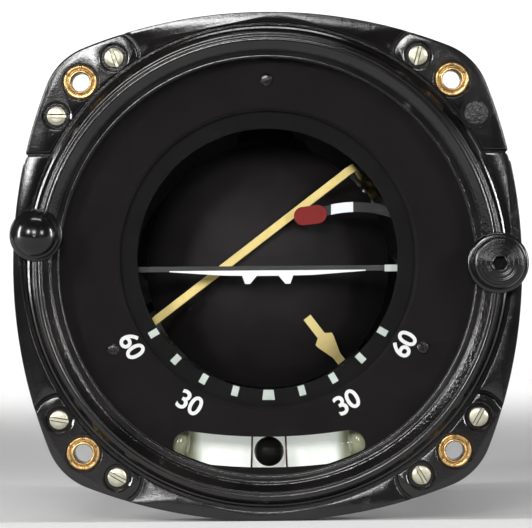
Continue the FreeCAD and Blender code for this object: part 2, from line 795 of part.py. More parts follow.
def slip_tray():
    """White backing plate, with its ends folded forward to the web to hold the tube."""
    y_back = y_tube + tube_r + 0.4
    back = slip_slot(slip_window_half + 0.9, slip_window_h / 2 + 0.6, y_back, y_back + 0.6)
    back = back.common(cyl(case_bore_r - 0.4, y_back - 1, y_back + 2))
    wall_x = slip_arc_r * math.sin(math.radians(tube_half_deg)) + 1.5
    parts = [back]
    for sx in (-1, 1):
        parts.append(block(sx * wall_x, sx * (wall_x + 0.6), y_web_back + 0.1, y_back + 0.6,
                           slip_z - 0.6, slip_z + 5.8))
    body = fuse_all(parts)
    tip = cross_cyl(1.5, -40, 40, y_tube, slip_z)
    axis_at = V(0, y_tube, slip_z + slip_arc_r)
    cuts = []
    for side in (-1, 1):
        cuts.append(spun(tip, -side * tube_half_deg, axis_at, AXIS_Y))
    walls_only = block(-40, 40, y_web, y_back - 0.1, slip_z - 10, slip_z + 12)
    return body.cut(fuse_all(cuts).common(walls_only))


def slip_ball():
    return Part.makeSphere(ball_r, V(0, y_tube, slip_z))


# ------------------------------------------------------------------ gear teeth
def involute(angle):
    return math.tan(angle) - angle


def tooth_outline(teeth, module, backlash):
    """One involute tooth about the origin, pointing along +first axis, as (u, v) points."""
    pressure = math.radians(20)
    pitch_r = module * teeth / 2
    base_r = pitch_r * math.cos(pressure)
    tip_r = pitch_r + 0.85 * module
    root_r = pitch_r - 1.2 * module
    half = math.pi / (2 * teeth) - backlash / (2 * pitch_r)
    flank = [(root_r - 0.3 * module, half + involute(pressure))]
    start = max(base_r, root_r)
    steps = 4
    for k in range(steps + 1):
        r = start + (tip_r - start) * k / steps
        at = math.acos(min(1.0, base_r / r))
        flank.append((r, half + involute(pressure) - involute(at)))
    right = [(r * math.cos(g), r * math.sin(g)) for r, g in flank]
    left = [(u, -v) for u, v in reversed(right)]
    return right + left


def gear_in_xz(teeth, module, y0, y1, backlash, phase_deg):
    """Spur gear about the Y axis, with one tooth at phase_deg from +X towards +Z."""
    root_r = module * teeth / 2 - 1.2 * module
    parts = [cyl(root_r, y0, y1)]
    tooth = plate(tooth_outline(teeth, module, backlash), y0, y1)
    for k in range(teeth):
        parts.append(spun(tooth, -(phase_deg + 360 * k / teeth), ORIGIN, AXIS_Y))
    return fuse_all(parts)


def side_plate(points, x0, x1):
    """Flat plate with an outline of (y, z) points and its thickness along X."""
    wire = Part.makePolygon([V(x0, y, z) for y, z in points + points[:1]])
    return Part.Face(wire).extrude(V(x1 - x0, 0, 0))


# ------------------------------------------------------------------ symbol and trim drive
pinion_pitch_r = rack_module * pinion_teeth / 2
pinion_tip_r = pinion_pitch_r + 0.85 * rack_module
rack_line_x = trim_x + pinion_pitch_r
rack_half = symbol_travel + 2.4
y_pinion = y_joint + 1.0
y_pinion_back = y_pinion + 2.7
y_rod = y_blade + 2.0
trim_bush_r = 3.0
cage_bush_r = 4.3
cage_tube_r = 2.3
cage_arm_half = 1.6
bearing_r = 8.5
bearing_t = 4.0
post_circle_r = 16.0
y_bridge = y_cover_end - 16.0
plug_screw_at = 10.3
y_cap_back = y_boss - cage_travel - 0.3


def aircraft_symbol():
    """White wing bar with two short legs, fixed under the blade."""
    top = symbol_top
    half = symbol_span / 2
    wing = [(-half, top), (half, top), (half, top - 0.25), (symbol_leg_x + 6, top - 1.15)]
    leg = [(symbol_leg_x + 1.3, top - 1.25), (symbol_leg_x + 0.6, top - 3.2), (symbol_leg_x - 0.6, top - 3.2),
           (symbol_leg_x - 2.2, top - 1.3)]
    right = wing[2:] + leg
    left = [(-x, z) for x, z in reversed(right)]
    return plate([wing[0], wing[1]] + right + left, y_blade - 0.6, y_blade)


def rack_strip():
    """Straight rack with its teeth towards the pinion."""
    y0 = y_web + 0.1
    y1 = y_pinion_back - 0.1
    root_x = rack_line_x + 1.2 * rack_module
    pitch = math.pi * rack_module
    back_x = root_x + 2.4
    points = [(back_x, trim_z - rack_half), (back_x, trim_z + rack_half), (root_x, trim_z + rack_half)]
    count = int(rack_half / pitch)
    slope = math.tan(math.radians(20))
    tip_x = rack_line_x - 0.85 * rack_module
    half_line = pitch / 4 - 0.03
    half_root = half_line + slope * (root_x - rack_line_x)
    half_tip = half_line - slope * (rack_line_x - tip_x)
    for k in range(count, -count - 1, -1):
        z = trim_z + k * pitch
        points += [(root_x, z + half_root), (tip_x, z + half_tip), (tip_x, z - half_tip), (root_x, z - half_root)]
    points.append((root_x, trim_z - rack_half))
    return plate(points, y0, y1)


def symbol_carriage():
    """Support blade, two slide blocks and the rack that the trim knob drives."""
    z1 = blade_z
    z0 = blade_z - blade_t
    parts = [block(-rod_x, rod_x, y_blade, y_blade + blade_depth, z0, z1)]
    for sx in (-1, 1):
        parts.append(block(sx * (rod_x - 2.5), sx * (rod_x + 2.5), y_blade, y_rod + 1.8, -3.5, 3.5))
    leg_x = rack_line_x + 1.2 * rack_module + 1.2
    parts.append(block(leg_x, -rod_x, y_blade, y_blade + 1.4, 1.0, 6.0))
    parts.append(block(leg_x, leg_x + 1.6, y_pinion_back - 1.4, y_blade + 1.4, 1.0, 6.0))
    parts.append(rack_strip())
    body = fuse_all(parts)
    holes = []
    for sx in (-1, 1):
        holes.append(Part.makeCylinder(rod_r + fit_gap, 20, V(sx * rod_x, y_rod, -10), AXIS_Z))
    return cut_all(body, holes)


def trim_pinion():
    """Pinion and shaft in one, carried in the bezel's bush and the flange."""
    gear = gear_in_xz(pinion_teeth, rack_module, y_pinion, y_pinion_back, 0.06, 180 / pinion_teeth)
    shaft = cyl(trim_shaft_r, y_boss - 5.0, y_pinion)
    pivot = cyl(1.0, y_pinion_back, -0.5)
    return moved(fuse_all([gear, shaft, pivot]), x=trim_x, z=trim_z)


def trim_bush():
    flanged = fuse_all([cyl(trim_bush_r - 0.02, y_boss, y_joint), cyl(trim_bush_r + 0.9, y_boss - 0.25, y_boss)])
    return moved(flanged.cut(cyl(trim_shaft_r + fit_gap, y_boss - 2, 1)), x=trim_x, z=trim_z)


def crown(radius, y_edge, rise):
    """Arc from a rim to the axis, on a sphere, rising towards -Y."""
    sphere_r = (radius ** 2 + rise ** 2) / (2 * rise)
    y_centre = y_edge - rise + sphere_r
    half = math.asin(radius / sphere_r) / 2
    mid = V(sphere_r * math.sin(half), y_centre - sphere_r * math.cos(half), 0)
    return Part.Arc(V(radius, y_edge, 0), mid, V(0, y_edge - rise, 0)).toShape()


def trim_knob():
    """Domed knob with a wide skirt."""
    y0 = y_boss - 0.55
    y_edge = y0 - 5.0
    bore_end = y_boss - 5.05
    bore_r = trim_shaft_r + 0.02
    points = [(0, y_edge - 2.4), (0, bore_end), (bore_r, bore_end), (bore_r, y0), (trim_knob_r - 0.4, y0),
              (trim_knob_r, y0 - 0.4), (trim_knob_r, y0 - 2.0), (trim_knob_r - 0.5, y0 - 2.6),
              (trim_dome_r + 0.25, y0 - 2.8), (trim_dome_r, y0 - 3.2), (trim_dome_r, y_edge)]
    edges = [Part.LineSegment(V(r0, ya, 0), V(r1, yb, 0)).toShape()
             for (r0, ya), (r1, yb) in zip(points, points[1:])]
    edges.append(crown(trim_dome_r, y_edge, 2.4))
    solid = Part.Face(Part.Wire(edges)).revolve(ORIGIN, AXIS_Y, 360)
    return moved(solid, x=trim_x, z=trim_z)


# ------------------------------------------------------------------ caging button
def cage_bush():
    """Guide sleeve that the button's cap slides over."""
    sleeve = cyl(cage_bush_r, y_cap_back - 0.5, y_boss)
    tube = cyl(cage_tube_r - 0.02, y_boss - 1, y_joint)
    bore = cyl(cage_stem_r + fit_gap, y_boss - 20, 1)
    spring_room = cyl(cage_stem_r + 1.6, y_boss - 20, y_boss - 0.8)
    return moved(cut_all(sleeve.fuse(tube).removeSplitter(), [bore, spring_room]), x=cage_x, z=cage_z)


def cage_button():
    """Hollow cap, turned in steps, on a stem."""
    y0 = y_cap_back
    y1 = y0 - cage_cap_len
    outer = turned([(0, y0), (cage_cap_r, y0), (cage_cap_r, y1 + 1.5), (cage_cap_r - 0.35, y1 + 1.1),
                    (cage_cap_r - 0.75, y1 + 1.1), (cage_cap_r - 0.75, y1 + 0.5), (cage_cap_r - 1.1, y1),
                    (4.1, y1), (4.0, y1 + 0.15), (2.7, y1 + 0.25), (2.5, y1), (0, y1)])
    hollow = cyl(cage_bush_r + fit_gap, y1 + 2.2, y0 + 1)
    socket = Part.Face(Part.makePolygon([V(1.75 * math.cos(math.radians(60 * k)), y1 - 1,
                                           1.75 * math.sin(math.radians(60 * k))) for k in range(7)]))
    body = outer.cut(hollow).cut(socket.extrude(V(0, 2.4, 0)))
    stem = cyl(cage_stem_r, y1 + 1.6, y_joint + 0.6)
    return moved(body.fuse(stem).removeSplitter(), x=cage_x, z=cage_z)


def cage_rod():
    """Arm and push rod that carry the button's travel to the rear."""
    y0 = y_joint + 0.6
    parts = [cyl(cage_arm_half, y0, y0 + 1.0, cage_x, cage_z)]
    parts.append(block(cage_rod_x, cage_x, y0, y0 + 1.0, cage_z - cage_rod_r, cage_z + cage_rod_r))
    parts.append(cyl(cage_rod_r, y0, y_case_end - 2.0, cage_rod_x, cage_z))
    return fuse_all(parts)


def cage_spring():
    """Return spring inside the sleeve, as a closed tube of the size of the pressed coil."""
    y0 = y_cap_back - cage_cap_len + 2.3 + cage_travel
    return ring(cage_stem_r + 1.2, cage_stem_r + 0.4, y0, y_boss - 0.85, cage_x, cage_z)


# ------------------------------------------------------------------ failure flag
def flag_band_strip(width, y0, y1, x_from, x_to):
    """Stretch of the flag's curved arm between two x places."""
    cx, cz = flag_arc_centre
    px, pz = flag_pivot
    arm_r = math.hypot(px - cx, pz - cz)
    strip = ring(arm_r + width / 2, arm_r - width / 2, y0, y1, cx, cz)
    return strip.common(block(x_from, x_to, y0 - 1, y1 + 1, pz, cz + arm_r + 10))


def flag_arm():
    px, pz = flag_pivot
    strip = flag_band_strip(flag_arm_w, y_flag, y_flag + flag_t, 9.0, px + 2)
    hub = cyl(2.8, y_flag - 0.3, y_flag + flag_t + 0.3, px, pz)
    return strip.fuse(hub).removeSplitter().cut(cyl(1.2 + fit_gap, y_flag - 2, y_flag + 4, px, pz))


def flag_paddle():
    """Red paddle, a rounded oblong on the end of the arm."""
    half_h = 2.2
    half_l = 3.95
    body = block(-half_l + half_h, half_l - half_h, y_flag - 0.5, y_flag, -half_h, half_h)
    ends = [cyl(half_h, y_flag - 0.5, y_flag, s * (half_l - half_h), 0) for s in (-1, 1)]
    oblong = spun(fuse_all([body] + ends), -7, ORIGIN, AXIS_Y)
    return moved(oblong, x=10.3, z=12.2)


def flag_band():
    """White band across the arm beside the paddle."""
    return flag_band_strip(flag_arm_w + 0.1, y_flag - 0.3, y_flag, 15.3, 20.6)


def flag_magnet():
    """Small coil housing that pulls the flag away when the power is sound."""
    x, z = magnet_at
    can = cyl(4.2, y_web_back, y_flag + 3.0, x, z)
    foot = block(x - 6.4, x + 6.0, y_web_back, y_web_back + 1.0, z - 2.5, z + 2.5)
    inside = cyl(rim_r - 2.0, y_web_back - 1, y_flag + 5)
    return can.fuse(foot).removeSplitter().common(inside)


# ------------------------------------------------------------------ gimbal group (upright)
def sky_dome():
    """Spun sky disc: a spherical cap with a short skirt."""
    inner_r = dome_r - dome_wall
    rim_in = dome_rim_r - dome_wall
    rim_in_y = dome_y - math.sqrt(inner_r ** 2 - rim_in ** 2)
    skirt_y = dome_rim_y + 5.0
    def on_cap(radius, share, rim):
        a = math.asin(rim / radius) * share
        return V(radius * math.sin(a), dome_y - radius * math.cos(a), 0)
    outer = Part.Arc(on_cap(dome_r, 0, dome_rim_r), on_cap(dome_r, 0.5, dome_rim_r), on_cap(dome_r, 1, dome_rim_r))
    inner = Part.Arc(on_cap(inner_r, 1, rim_in), on_cap(inner_r, 0.5, rim_in), on_cap(inner_r, 0, rim_in))
    rim_points = [V(dome_rim_r, dome_rim_y, 0), V(dome_rim_r, skirt_y, 0), V(rim_in, skirt_y, 0), V(rim_in, rim_in_y, 0)]
    edges = [outer.toShape()]
    edges += [Part.LineSegment(a, b).toShape() for a, b in zip(rim_points, rim_points[1:])]
    edges.append(inner.toShape())
    edges.append(Part.LineSegment(V(0, dome_y - inner_r, 0), V(0, dome_y - dome_r, 0)).toShape())
    return Part.Face(Part.Wire(edges)).revolve(ORIGIN, AXIS_Y, 360)


def roll_pointer():
    """Arrow that lies on the dome and shows the bank angle."""
    half = 1.05
    points = [(-half, -14.5), (half, -14.5), (half, -20.2), (1.6, -20.6), (2.5, -21.2), (2.35, -22.2),
              (half, -26.4), (half, -28.6), (-half, -28.6), (-half, -26.4), (-2.35, -22.2), (-2.5, -21.2),
              (-1.6, -20.6), (-half, -20.2)]
    column = plate(points, 0, dome_y)
    shell = Part.makeSphere(dome_r + pointer_t, V(0, dome_y, 0)).cut(Part.makeSphere(dome_r, V(0, dome_y, 0)))
    return column.common(shell)


def gimbal_frame():
    """Outer gimbal: front ring, two cranked side plates and a rear web with its hub."""
    y0 = dome_rim_y + 1.0
    hoop_r = dome_rim_r - dome_wall - 0.1
    hoop = ring(hoop_r, arm_in - 1.5, y0, y0 + 6.5)
    y_arm = dome_rim_y + 5.4
    y_crank = dome_y + 5.0
    parts = [hoop]
    for s in (-1, 1):
        parts.append(block(s * arm_in, s * arm_out, y_arm, y_crank + 3, -6, 6))
        parts.append(block(s * arm_in, s * side_out, y_crank, y_crank + 3, -6, 6))
        side = block(s * side_in, s * side_out, y_crank, rear_web_y + rear_web_t, -gimbal_half_h, gimbal_half_h)
        window = block(s * (side_in - 1), s * (side_out + 1), y_crank + 7, gyro_y - 10, -4.5, 4.5)
        slot = block(s * (side_in - 1), s * (side_out + 1), gyro_y + 11, rear_web_y - 5, -4.5, 4.5)
        parts.append(side.cut(window).cut(slot))
    parts.append(block(-side_out, side_out, rear_web_y, rear_web_y + rear_web_t, -gimbal_half_h, gimbal_half_h))
    parts.append(cyl(9.5, rear_web_y, y_case_end - 0.5))
    body = fuse_all(parts)
    cuts = [cyl(roll_shaft_r + 0.02, rear_web_y - 1, y_case_end)]
    for s in (-1, 1):
        cuts.append(cross_cyl(1.5, -60, 60, dome_y))
        cuts.append(cross_cyl(race_r + 0.02, s * side_in - 2, s * side_in + 2 + 3, gyro_y) if s > 0 else
                    cross_cyl(race_r + 0.02, -side_out - 2, -side_in + 2, gyro_y))
    return cut_all(body, cuts)


race_r = 5.5


def pitch_races():
    """The two small races of the pitch axis, in the side plates."""
    solids = []
    for s in (-1, 1):
        x0 = min(s * side_in, s * side_out)
        outer = cross_cyl(race_r, x0, x0 + side_out - side_in, gyro_y)
        bore = cross_cyl(trunnion_r + fit_gap, x0 - 1, x0 + 10, gyro_y)
        groove = cross_cyl(4.6, x0 - 1, x0 + 0.4, gyro_y).cut(cross_cyl(3.4, x0 - 2, x0 + 2, gyro_y))
        solids.append(outer.cut(bore).cut(groove))
    return solids


def bar_pivots():
    """Pins fixed in the gimbal's arms, for the horizon bar."""
    right = cross_cyl(1.48, arm_in - 0.5, gear_x + gear_t + 0.7, dome_y)
    left = cross_cyl(1.48, -bar_half - 2.2, -arm_in + 0.5, dome_y)
    return [right, left]


def roll_shaft():
    return fuse_all([cyl(roll_shaft_r, rear_web_y - 1.2, y_shaft_end), cyl(6.5, rear_web_y - 1.2, rear_web_y)])


def slip_rings():
    """Insulating sleeve with five contact rings, on the roll shaft."""
    y0 = y_case_end + bearing_t + 3.0
    parts = [ring(5.2, roll_shaft_r, y0, y_bridge - 1.5)]
    for k in range(5):
        y = y0 + 0.8 + 2.6 * k
        parts.append(ring(6.2, 5.0, y, y + 1.5))
    return fuse_all(parts)


def torquer_rotor():
    y0 = y_bridge + bearing_t + 1.0
    return ring(10.0, roll_shaft_r, y0, y_shaft_end - 0.5)


def torquer_stator():
    """Wound ring of the erection motor, on the bearing bridge."""
    y0 = y_bridge + bearing_t
    body = ring(15.5, 10.4, y0 - 1.0, y_shaft_end - 0.3)
    slots = [spun(block(10, 12.6, y0 + 0.5, y_shaft_end, -0.5, 0.5), 30 * k, ORIGIN, AXIS_Y) for k in range(12)]
    seat = cyl(bearing_r + 3.02, y0 - 3, y0)
    return cut_all(body, slots + [seat])


def brush_block():
    """Moulded block on the bulkhead with five contact wires."""
    y0 = y_bulkhead_back
    body = block(-7, 7, y0, y_bridge - 2.0, 10.0, 15.0).cut(cyl(bearing_r + 3.1, y0 - 1, y_case_end + bearing_t + 1.6))
    parts = [body]
    for k in range(5):
        y = y_case_end + bearing_t + 3.0 + 0.8 + 2.6 * k + 0.75
        parts.append(Part.makeCylinder(0.35, 4.2, V(3.0 * (-1) ** k, y, 6.3), AXIS_Z))
    return fuse_all(parts)


# ------------------------------------------------------------------ horizon bar (centred)
def horizon_bar():
    """Flat strip bent to a U: the bar across the dial and the two arms beside the dome."""
    bend = 2.6
    hub_r = 3.4
    outer = block(-bar_half, bar_half, y_bar, dome_y, -bar_w / 2, bar_w / 2)
    inner = block(-bar_half + bar_t, bar_half - bar_t, y_bar + bar_t, dome_y + 1, -bar_w, bar_w)
    corners = [e for e in outer.Edges if e.BoundBox.ZLength > bar_w * 0.9 and abs(e.BoundBox.YMin - y_bar) < 1e-6]
    inner_corners = [e for e in inner.Edges
                     if e.BoundBox.ZLength > bar_w * 0.9 and abs(e.BoundBox.YMin - y_bar - bar_t) < 1e-6]
    strip = outer.makeFillet(bend, corners).cut(inner.makeFillet(bend - bar_t, inner_corners))
    parts = [strip]
    for s in (-1, 1):
        x0 = min(s * (bar_half - bar_t), s * (bar_half + 1.0))
        parts.append(cross_cyl(hub_r, x0, x0 + bar_t + 1.0, dome_y))
    bore = cross_cyl(1.48 + fit_gap, -60, 60, dome_y)
    return fuse_all(parts).cut(bore)


def pitch_sector():
    """Toothed sector beside the right arm, driven by the gyro's pinion."""
    pitch_r = gear_module * sector_teeth / 2
    root_r = pitch_r - 1.2 * gear_module
    reach = 6
    step = 360 / sector_teeth
    half = math.radians((reach + 0.45) * step)
    x0 = gear_x
    x1 = gear_x + gear_t
    centre = V(0, 0, 0)
    edge = [V(0, root_r * math.cos(half), root_r * math.sin(s * half)) for s in (-1, 1)]
    rim_arc = Part.Arc(edge[0], V(0, root_r, 0), edge[1]).toShape()
    inner_r = root_r - 3.0
    inner_edge = [V(0, inner_r * math.cos(half), inner_r * math.sin(s * half)) for s in (-1, 1)]
    inner_arc = Part.Arc(inner_edge[0], V(0, inner_r, 0), inner_edge[1]).toShape()
    sides = [Part.LineSegment(edge[k], inner_edge[k]).toShape() for k in range(2)]
    rim = Part.Face(Part.Wire(Part.__sortEdges__([rim_arc, inner_arc] + sides))).extrude(V(gear_t, 0, 0))
    spoke = [(0, 3.0), (inner_r + 0.5, 5.5), (inner_r + 0.5, -5.5), (0, -3.0)]
    parts = [rim, side_plate(spoke, 0, gear_t)]
    tooth = side_plate(tooth_outline(sector_teeth, gear_module, 0.08), 0, gear_t)
    for k in range(-reach, reach + 1):
        parts.append(spun(tooth, step * k, centre, AXIS_X))
    sector = moved(fuse_all(parts), x=x0, y=dome_y)
    hub = cross_cyl(3.4, bar_half + 1.0, x1, dome_y)
    bore = cross_cyl(1.48 + fit_gap, 0, 60, dome_y)
    return sector.fuse(hub).removeSplitter().cut(bore)


# ------------------------------------------------------------------ gyro (upright)
def cup_profile(z_low, z_high, floor_low):
    """Half of the gyro housing as a turned cup about Z, (radius, z) points."""
    r = gyro_r
    w = gyro_wall
    if floor_low:
        return [(0, z_low), (r - 4, z_low), (r, z_low + 4), (r, z_high), (r - w, z_high), (r - w, z_low + 4.6),
                (r - 4.6, z_low + w), (0, z_low + w)]
    return [(0, z_high), (r - 4, z_high), (r, z_high - 4), (r, z_low), (r - w, z_low), (r - w, z_high - 4.6),
            (r - 4.6, z_high - w), (0, z_high - w)]


def turned_z(points):
    """Solid of revolution about the gyro's spin axis."""
    wire = Part.makePolygon([V(r, 0, z) for r, z in points + points[:1]])
    return moved(Part.Face(wire).revolve(ORIGIN, AXIS_Z, 360), y=gyro_y)


def spin_cyl(r, z0, z1):
    return Part.makeCylinder(r, z1 - z0, V(0, gyro_y, z0), AXIS_Z)


split_z = 9.0


def gyro_housing():
    """Lower cup with the trunnion bosses and the lower spin bearing seat."""
    parts = [turned_z(cup_profile(-gyro_half_h, split_z, True))]
    for s in (-1, 1):
        x0 = min(s * (gyro_r - 1.5), s * (side_in - 1.2))
        parts.append(cross_cyl(5.0, x0, x0 + side_in - 1.2 - gyro_r + 1.5, gyro_y))
        x1 = min(s * (gyro_r - 1.5), s * (gear_x + gear_t + 0.4 if s > 0 else side_out + 0.5))
        length = (gear_x + gear_t + 0.4 if s > 0 else side_out + 0.5) - gyro_r + 1.5
        parts.append(cross_cyl(trunnion_r, x1, x1 + length, gyro_y))
    parts.append(spin_cyl(6.0, -gyro_half_h + 1, -gyro_half_h + 6.5))
    body = fuse_all(parts)
    bearing_seat = spin_cyl(4.52, -gyro_half_h + 3.5, -gyro_half_h + 7)
    return body.cut(bearing_seat).cut(spin_cyl(gyro_r - gyro_wall, -5, split_z + 1))


def gyro_cap():
    """Upper cup, screwed on the lower one."""
    z0 = split_z
    parts = [turned_z(cup_profile(z0, gyro_half_h, False)), spin_cyl(6.0, gyro_half_h - 6.5, gyro_half_h - 1)]
    body = fuse_all(parts)
    cuts = [spin_cyl(4.52, gyro_half_h - 7, gyro_half_h - 3.5)]
    for k in range(6):
        a = math.radians(60 * k + 30)
        cuts.append(Part.makeCylinder(2.2, 3, V(17 * math.cos(a), gyro_y + 17 * math.sin(a), gyro_half_h - 0.8), AXIS_Z))
    return cut_all(body, cuts)


def spin_bearings():
    """Two races for the rotor's shaft."""
    solids = []
    for z0 in (-gyro_half_h + 3.6, gyro_half_h - 6.4):
        solids.append(spin_cyl(4.5, z0, z0 + 2.8).cut(spin_cyl(1.5 + fit_gap, z0 - 1, z0 + 5)))
    return solids


def gyro_stator():
    """Wound stator inside the rotor, on the lower cup's boss."""
    z0 = -gyro_half_h + 6.6
    core = turned_z([(3.2, z0), (6.0, z0), (6.0, -9.0), (12.5, -9.0), (12.5, 0.5), (3.2, 0.5)])
    teeth = [Part.makeBox(2.6, 1.0, 12, V(10.6, gyro_y - 0.5, -10)) for k in range(9)]
    slots = [spun(tooth, 40 * k, V(0, gyro_y, 0), AXIS_Z) for k, tooth in enumerate(teeth)]
    return cut_all(core, slots)


def gyro_rotor():
    """Heavy rim, web and hub turned in one, open below for the stator."""
    return turned_z([(1.52, 2.0), (5.0, 2.0), (13.0, 2.0), (13.6, -rotor_half_h + 1), (15.0, -rotor_half_h),
                     (rotor_r - 1, -rotor_half_h), (rotor_r, -rotor_half_h + 1), (rotor_r, rotor_half_h - 1),
                     (rotor_r - 1, rotor_half_h), (15.0, rotor_half_h), (14.0, 7.0), (6.0, 6.0), (5.0, 9.5), (1.52, 9.5)])


def rotor_shaft():
    top = gyro_half_h - 3.7
    return spin_cyl(1.5, -top, top)


def trunnion_pinion():
    """Pinion on the right trunnion that turns the sector."""
    gear = gear_in_xz(gyro_pinion_teeth, gear_module, 0, gear_t, 0.08, 180 / gyro_pinion_teeth)
    on_side = spun(gear, -90, ORIGIN, AXIS_Z)
    on_side = spun(on_side, 90, ORIGIN, AXIS_X)
    solid = moved(on_side, x=gear_x, y=gyro_y)
    return solid.cut(cross_cyl(trunnion_r + 0.02, 0, 60, gyro_y))


# ------------------------------------------------------------------ connector
def plug_shell():
    """Threaded barrel of the electrical connector, on a square flange."""
    y0 = y_cover_end
    base = block(-plug_flange_half, plug_flange_half, y0, y0 + 2.2,
                 plug_z - plug_flange_half, plug_z + plug_flange_half)
    upright = [e for e in base.Edges if e.BoundBox.YLength > 2]
    base = base.makeFillet(2.5, upright)
    barrel = cyl(plug_r, y0, y0 + plug_len, 0, plug_z)
    neck = ring(plug_r + 1, plug_r - 0.8, y0 + 4.5, y0 + 6.2, 0, plug_z)
    body = fuse_all([base, barrel])
    cuts = [cyl(plug_r - plug_wall, y0 - 1, y0 + plug_len + 1, 0, plug_z), neck]
    for sx in (-1, 1):
        for sz in (-1, 1):
            cuts.append(cyl(0.9 + fit_gap, y0 - 1, y0 + 3, sx * plug_screw_at, plug_z + sz * plug_screw_at))
    return cut_all(body, cuts)


def pin_places():
    places = [(0.0, plug_z)]
    for k in range(6):
        a = math.radians(60 * k)
        places.append((5.0 * math.cos(a), plug_z + 5.0 * math.sin(a)))
    return places


def plug_insert():
    """Moulded insert that carries the pins, keyed in the barrel."""
    y0 = y_cover_end - 4.0
    body = cyl(plug_r - plug_wall - 0.1, y0, y_cover_end + 4.0, 0, plug_z)
    return cut_all(body, [cyl(0.8 + 0.02, y0 - 1, y_cover_end + 6, x, z) for x, z in pin_places()])


def plug_pins():
    y0 = y_cover_end - 5.0
    return [cyl(0.8, y0, y_cover_end + 10.5, x, z) for x, z in pin_places()]


def plug_screws():
    solids = []
    y_face = y_cover_end + 2.2
    for sx in (-1, 1):
        for sz in (-1, 1):
            x, z = sx * plug_screw_at, plug_z + sz * plug_screw_at
            head = cyl(1.7, y_face, y_face + 1.1, x, z).cut(block(x - 3, x + 3, y_face + 0.6, y_face + 2, z - 0.25, z + 0.25))
            solids.append(head.fuse(cyl(0.9, y_cover_end - cover_wall, y_face, x, z)).removeSplitter())
    return solids


# ------------------------------------------------------------------ build
def main():
    os.makedirs("parts", exist_ok=True)
    save("bezel", bezel())
    save_group("bezel_screws", bezel_screws())
    save("seal_cup", seal_cup())
    save("seal_plug", seal_plug())
    save_group("flange_bushes", flange_bushes())
    save("window_glass", window_glass())
    save("glass_gasket", glass_gasket())
    save("glass_retainer", glass_retainer())
    save("mount_flange", mount_flange())
    save("case_body", case_body())
    save("bulkhead", bulkhead())
    save("bearing_bridge", bearing_bridge())
    save_group("roll_bearings", [ball_race(y_case_end), ball_race(y_bridge)])
    save("rear_cover", rear_cover())
    save_group("rear_screws", rear_screws())
    save("dial_frame", dial_frame())
    save_group("guide_rods", guide_rods())
    save("dial_mask", dial_mask())
    save_group("mask_screws", mask_screws())
    save("scale_ring", scale_ring())
    save_group("bank_marks", bank_marks() + [zero_mark()])
    save("slip_tube", slip_tube())
    save_group("slip_wires", slip_wires())
    save("slip_tray", slip_tray())
    save("slip_ball", slip_ball())
    save("aircraft_symbol", aircraft_symbol())
    save("symbol_carriage", symbol_carriage())
    save("trim_bush", trim_bush())
    save("trim_pinion", trim_pinion())
    save("trim_knob", trim_knob())
    save("cage_bush", cage_bush())
    save("cage_button", cage_button())
    save("cage_rod", cage_rod())
    save("cage_spring", cage_spring())
    save("flag_arm", flag_arm())
    save("flag_paddle", flag_paddle())
    save("flag_band", flag_band())
    save("flag_magnet", flag_magnet())
    save("sky_dome", rolled(sky_dome()))
    save("roll_pointer", rolled(roll_pointer()))
    save("gimbal_frame", rolled(gimbal_frame()))
    save_group("pitch_races", [rolled(s) for s in pitch_races()])
    save_group("bar_pivots", [rolled(s) for s in bar_pivots()])
    save("roll_shaft", roll_shaft())
    save("slip_rings", slip_rings())
    save("torquer_rotor", torquer_rotor())
    save("torquer_stator", torquer_stator())
    save("brush_block", brush_block())
    save("horizon_bar", tilted_bar(horizon_bar()))
    save("pitch_sector", tilted_bar(pitch_sector()))
    save("gyro_housing", pitched(gyro_housing()))
    save("gyro_cap", pitched(gyro_cap()))
    save_group("spin_bearings", [pitched(s) for s in spin_bearings()])
    save("gyro_stator", pitched(gyro_stator()))
    save_group("gyro_rotor", [pitched(gyro_rotor()), pitched(rotor_shaft())])
    save("trunnion_pinion", pitched(trunnion_pinion()))
    save("plug_shell", plug_shell())
    save("plug_insert", plug_insert())
    save_group("plug_pins", plug_pins())
    save_group("plug_screws", plug_screws())


main()
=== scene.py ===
# %% [markdown]
# # An attitude indicator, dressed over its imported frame
# The working parts are imported as a fixed frame. This script paints them, and puts finer
# pieces over the few that the eye reads first: the cast bezel with its screws and bushes, the
# caging button, and the dial's mask, slip tube, tray and pointer. It adds printed numerals.
# All sizes below are in millimetres and are turned into metres where a mesh is made.

# %% Load the frame and measure it
import math
import bmesh
import bpy
from mathutils import Matrix, Vector


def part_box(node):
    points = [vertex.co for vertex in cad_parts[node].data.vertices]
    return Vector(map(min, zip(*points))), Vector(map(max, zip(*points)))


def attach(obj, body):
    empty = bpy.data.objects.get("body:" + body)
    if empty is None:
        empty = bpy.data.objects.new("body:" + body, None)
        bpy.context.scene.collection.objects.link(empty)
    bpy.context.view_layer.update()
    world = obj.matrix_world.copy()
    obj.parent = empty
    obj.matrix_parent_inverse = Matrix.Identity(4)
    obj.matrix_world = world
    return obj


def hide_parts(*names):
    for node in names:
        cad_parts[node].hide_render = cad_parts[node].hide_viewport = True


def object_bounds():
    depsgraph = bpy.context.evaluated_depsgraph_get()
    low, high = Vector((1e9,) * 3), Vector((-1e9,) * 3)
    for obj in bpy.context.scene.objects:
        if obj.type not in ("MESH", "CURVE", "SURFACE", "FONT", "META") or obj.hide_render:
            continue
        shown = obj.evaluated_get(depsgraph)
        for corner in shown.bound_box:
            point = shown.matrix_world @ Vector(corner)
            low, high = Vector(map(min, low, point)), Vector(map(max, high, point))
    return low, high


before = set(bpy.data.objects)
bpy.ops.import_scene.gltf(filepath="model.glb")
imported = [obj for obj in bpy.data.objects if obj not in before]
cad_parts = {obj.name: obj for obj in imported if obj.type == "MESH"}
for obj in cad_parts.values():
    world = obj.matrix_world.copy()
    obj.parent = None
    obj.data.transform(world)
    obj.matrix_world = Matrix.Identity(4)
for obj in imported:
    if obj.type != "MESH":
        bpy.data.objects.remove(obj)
cad_low, cad_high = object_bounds()
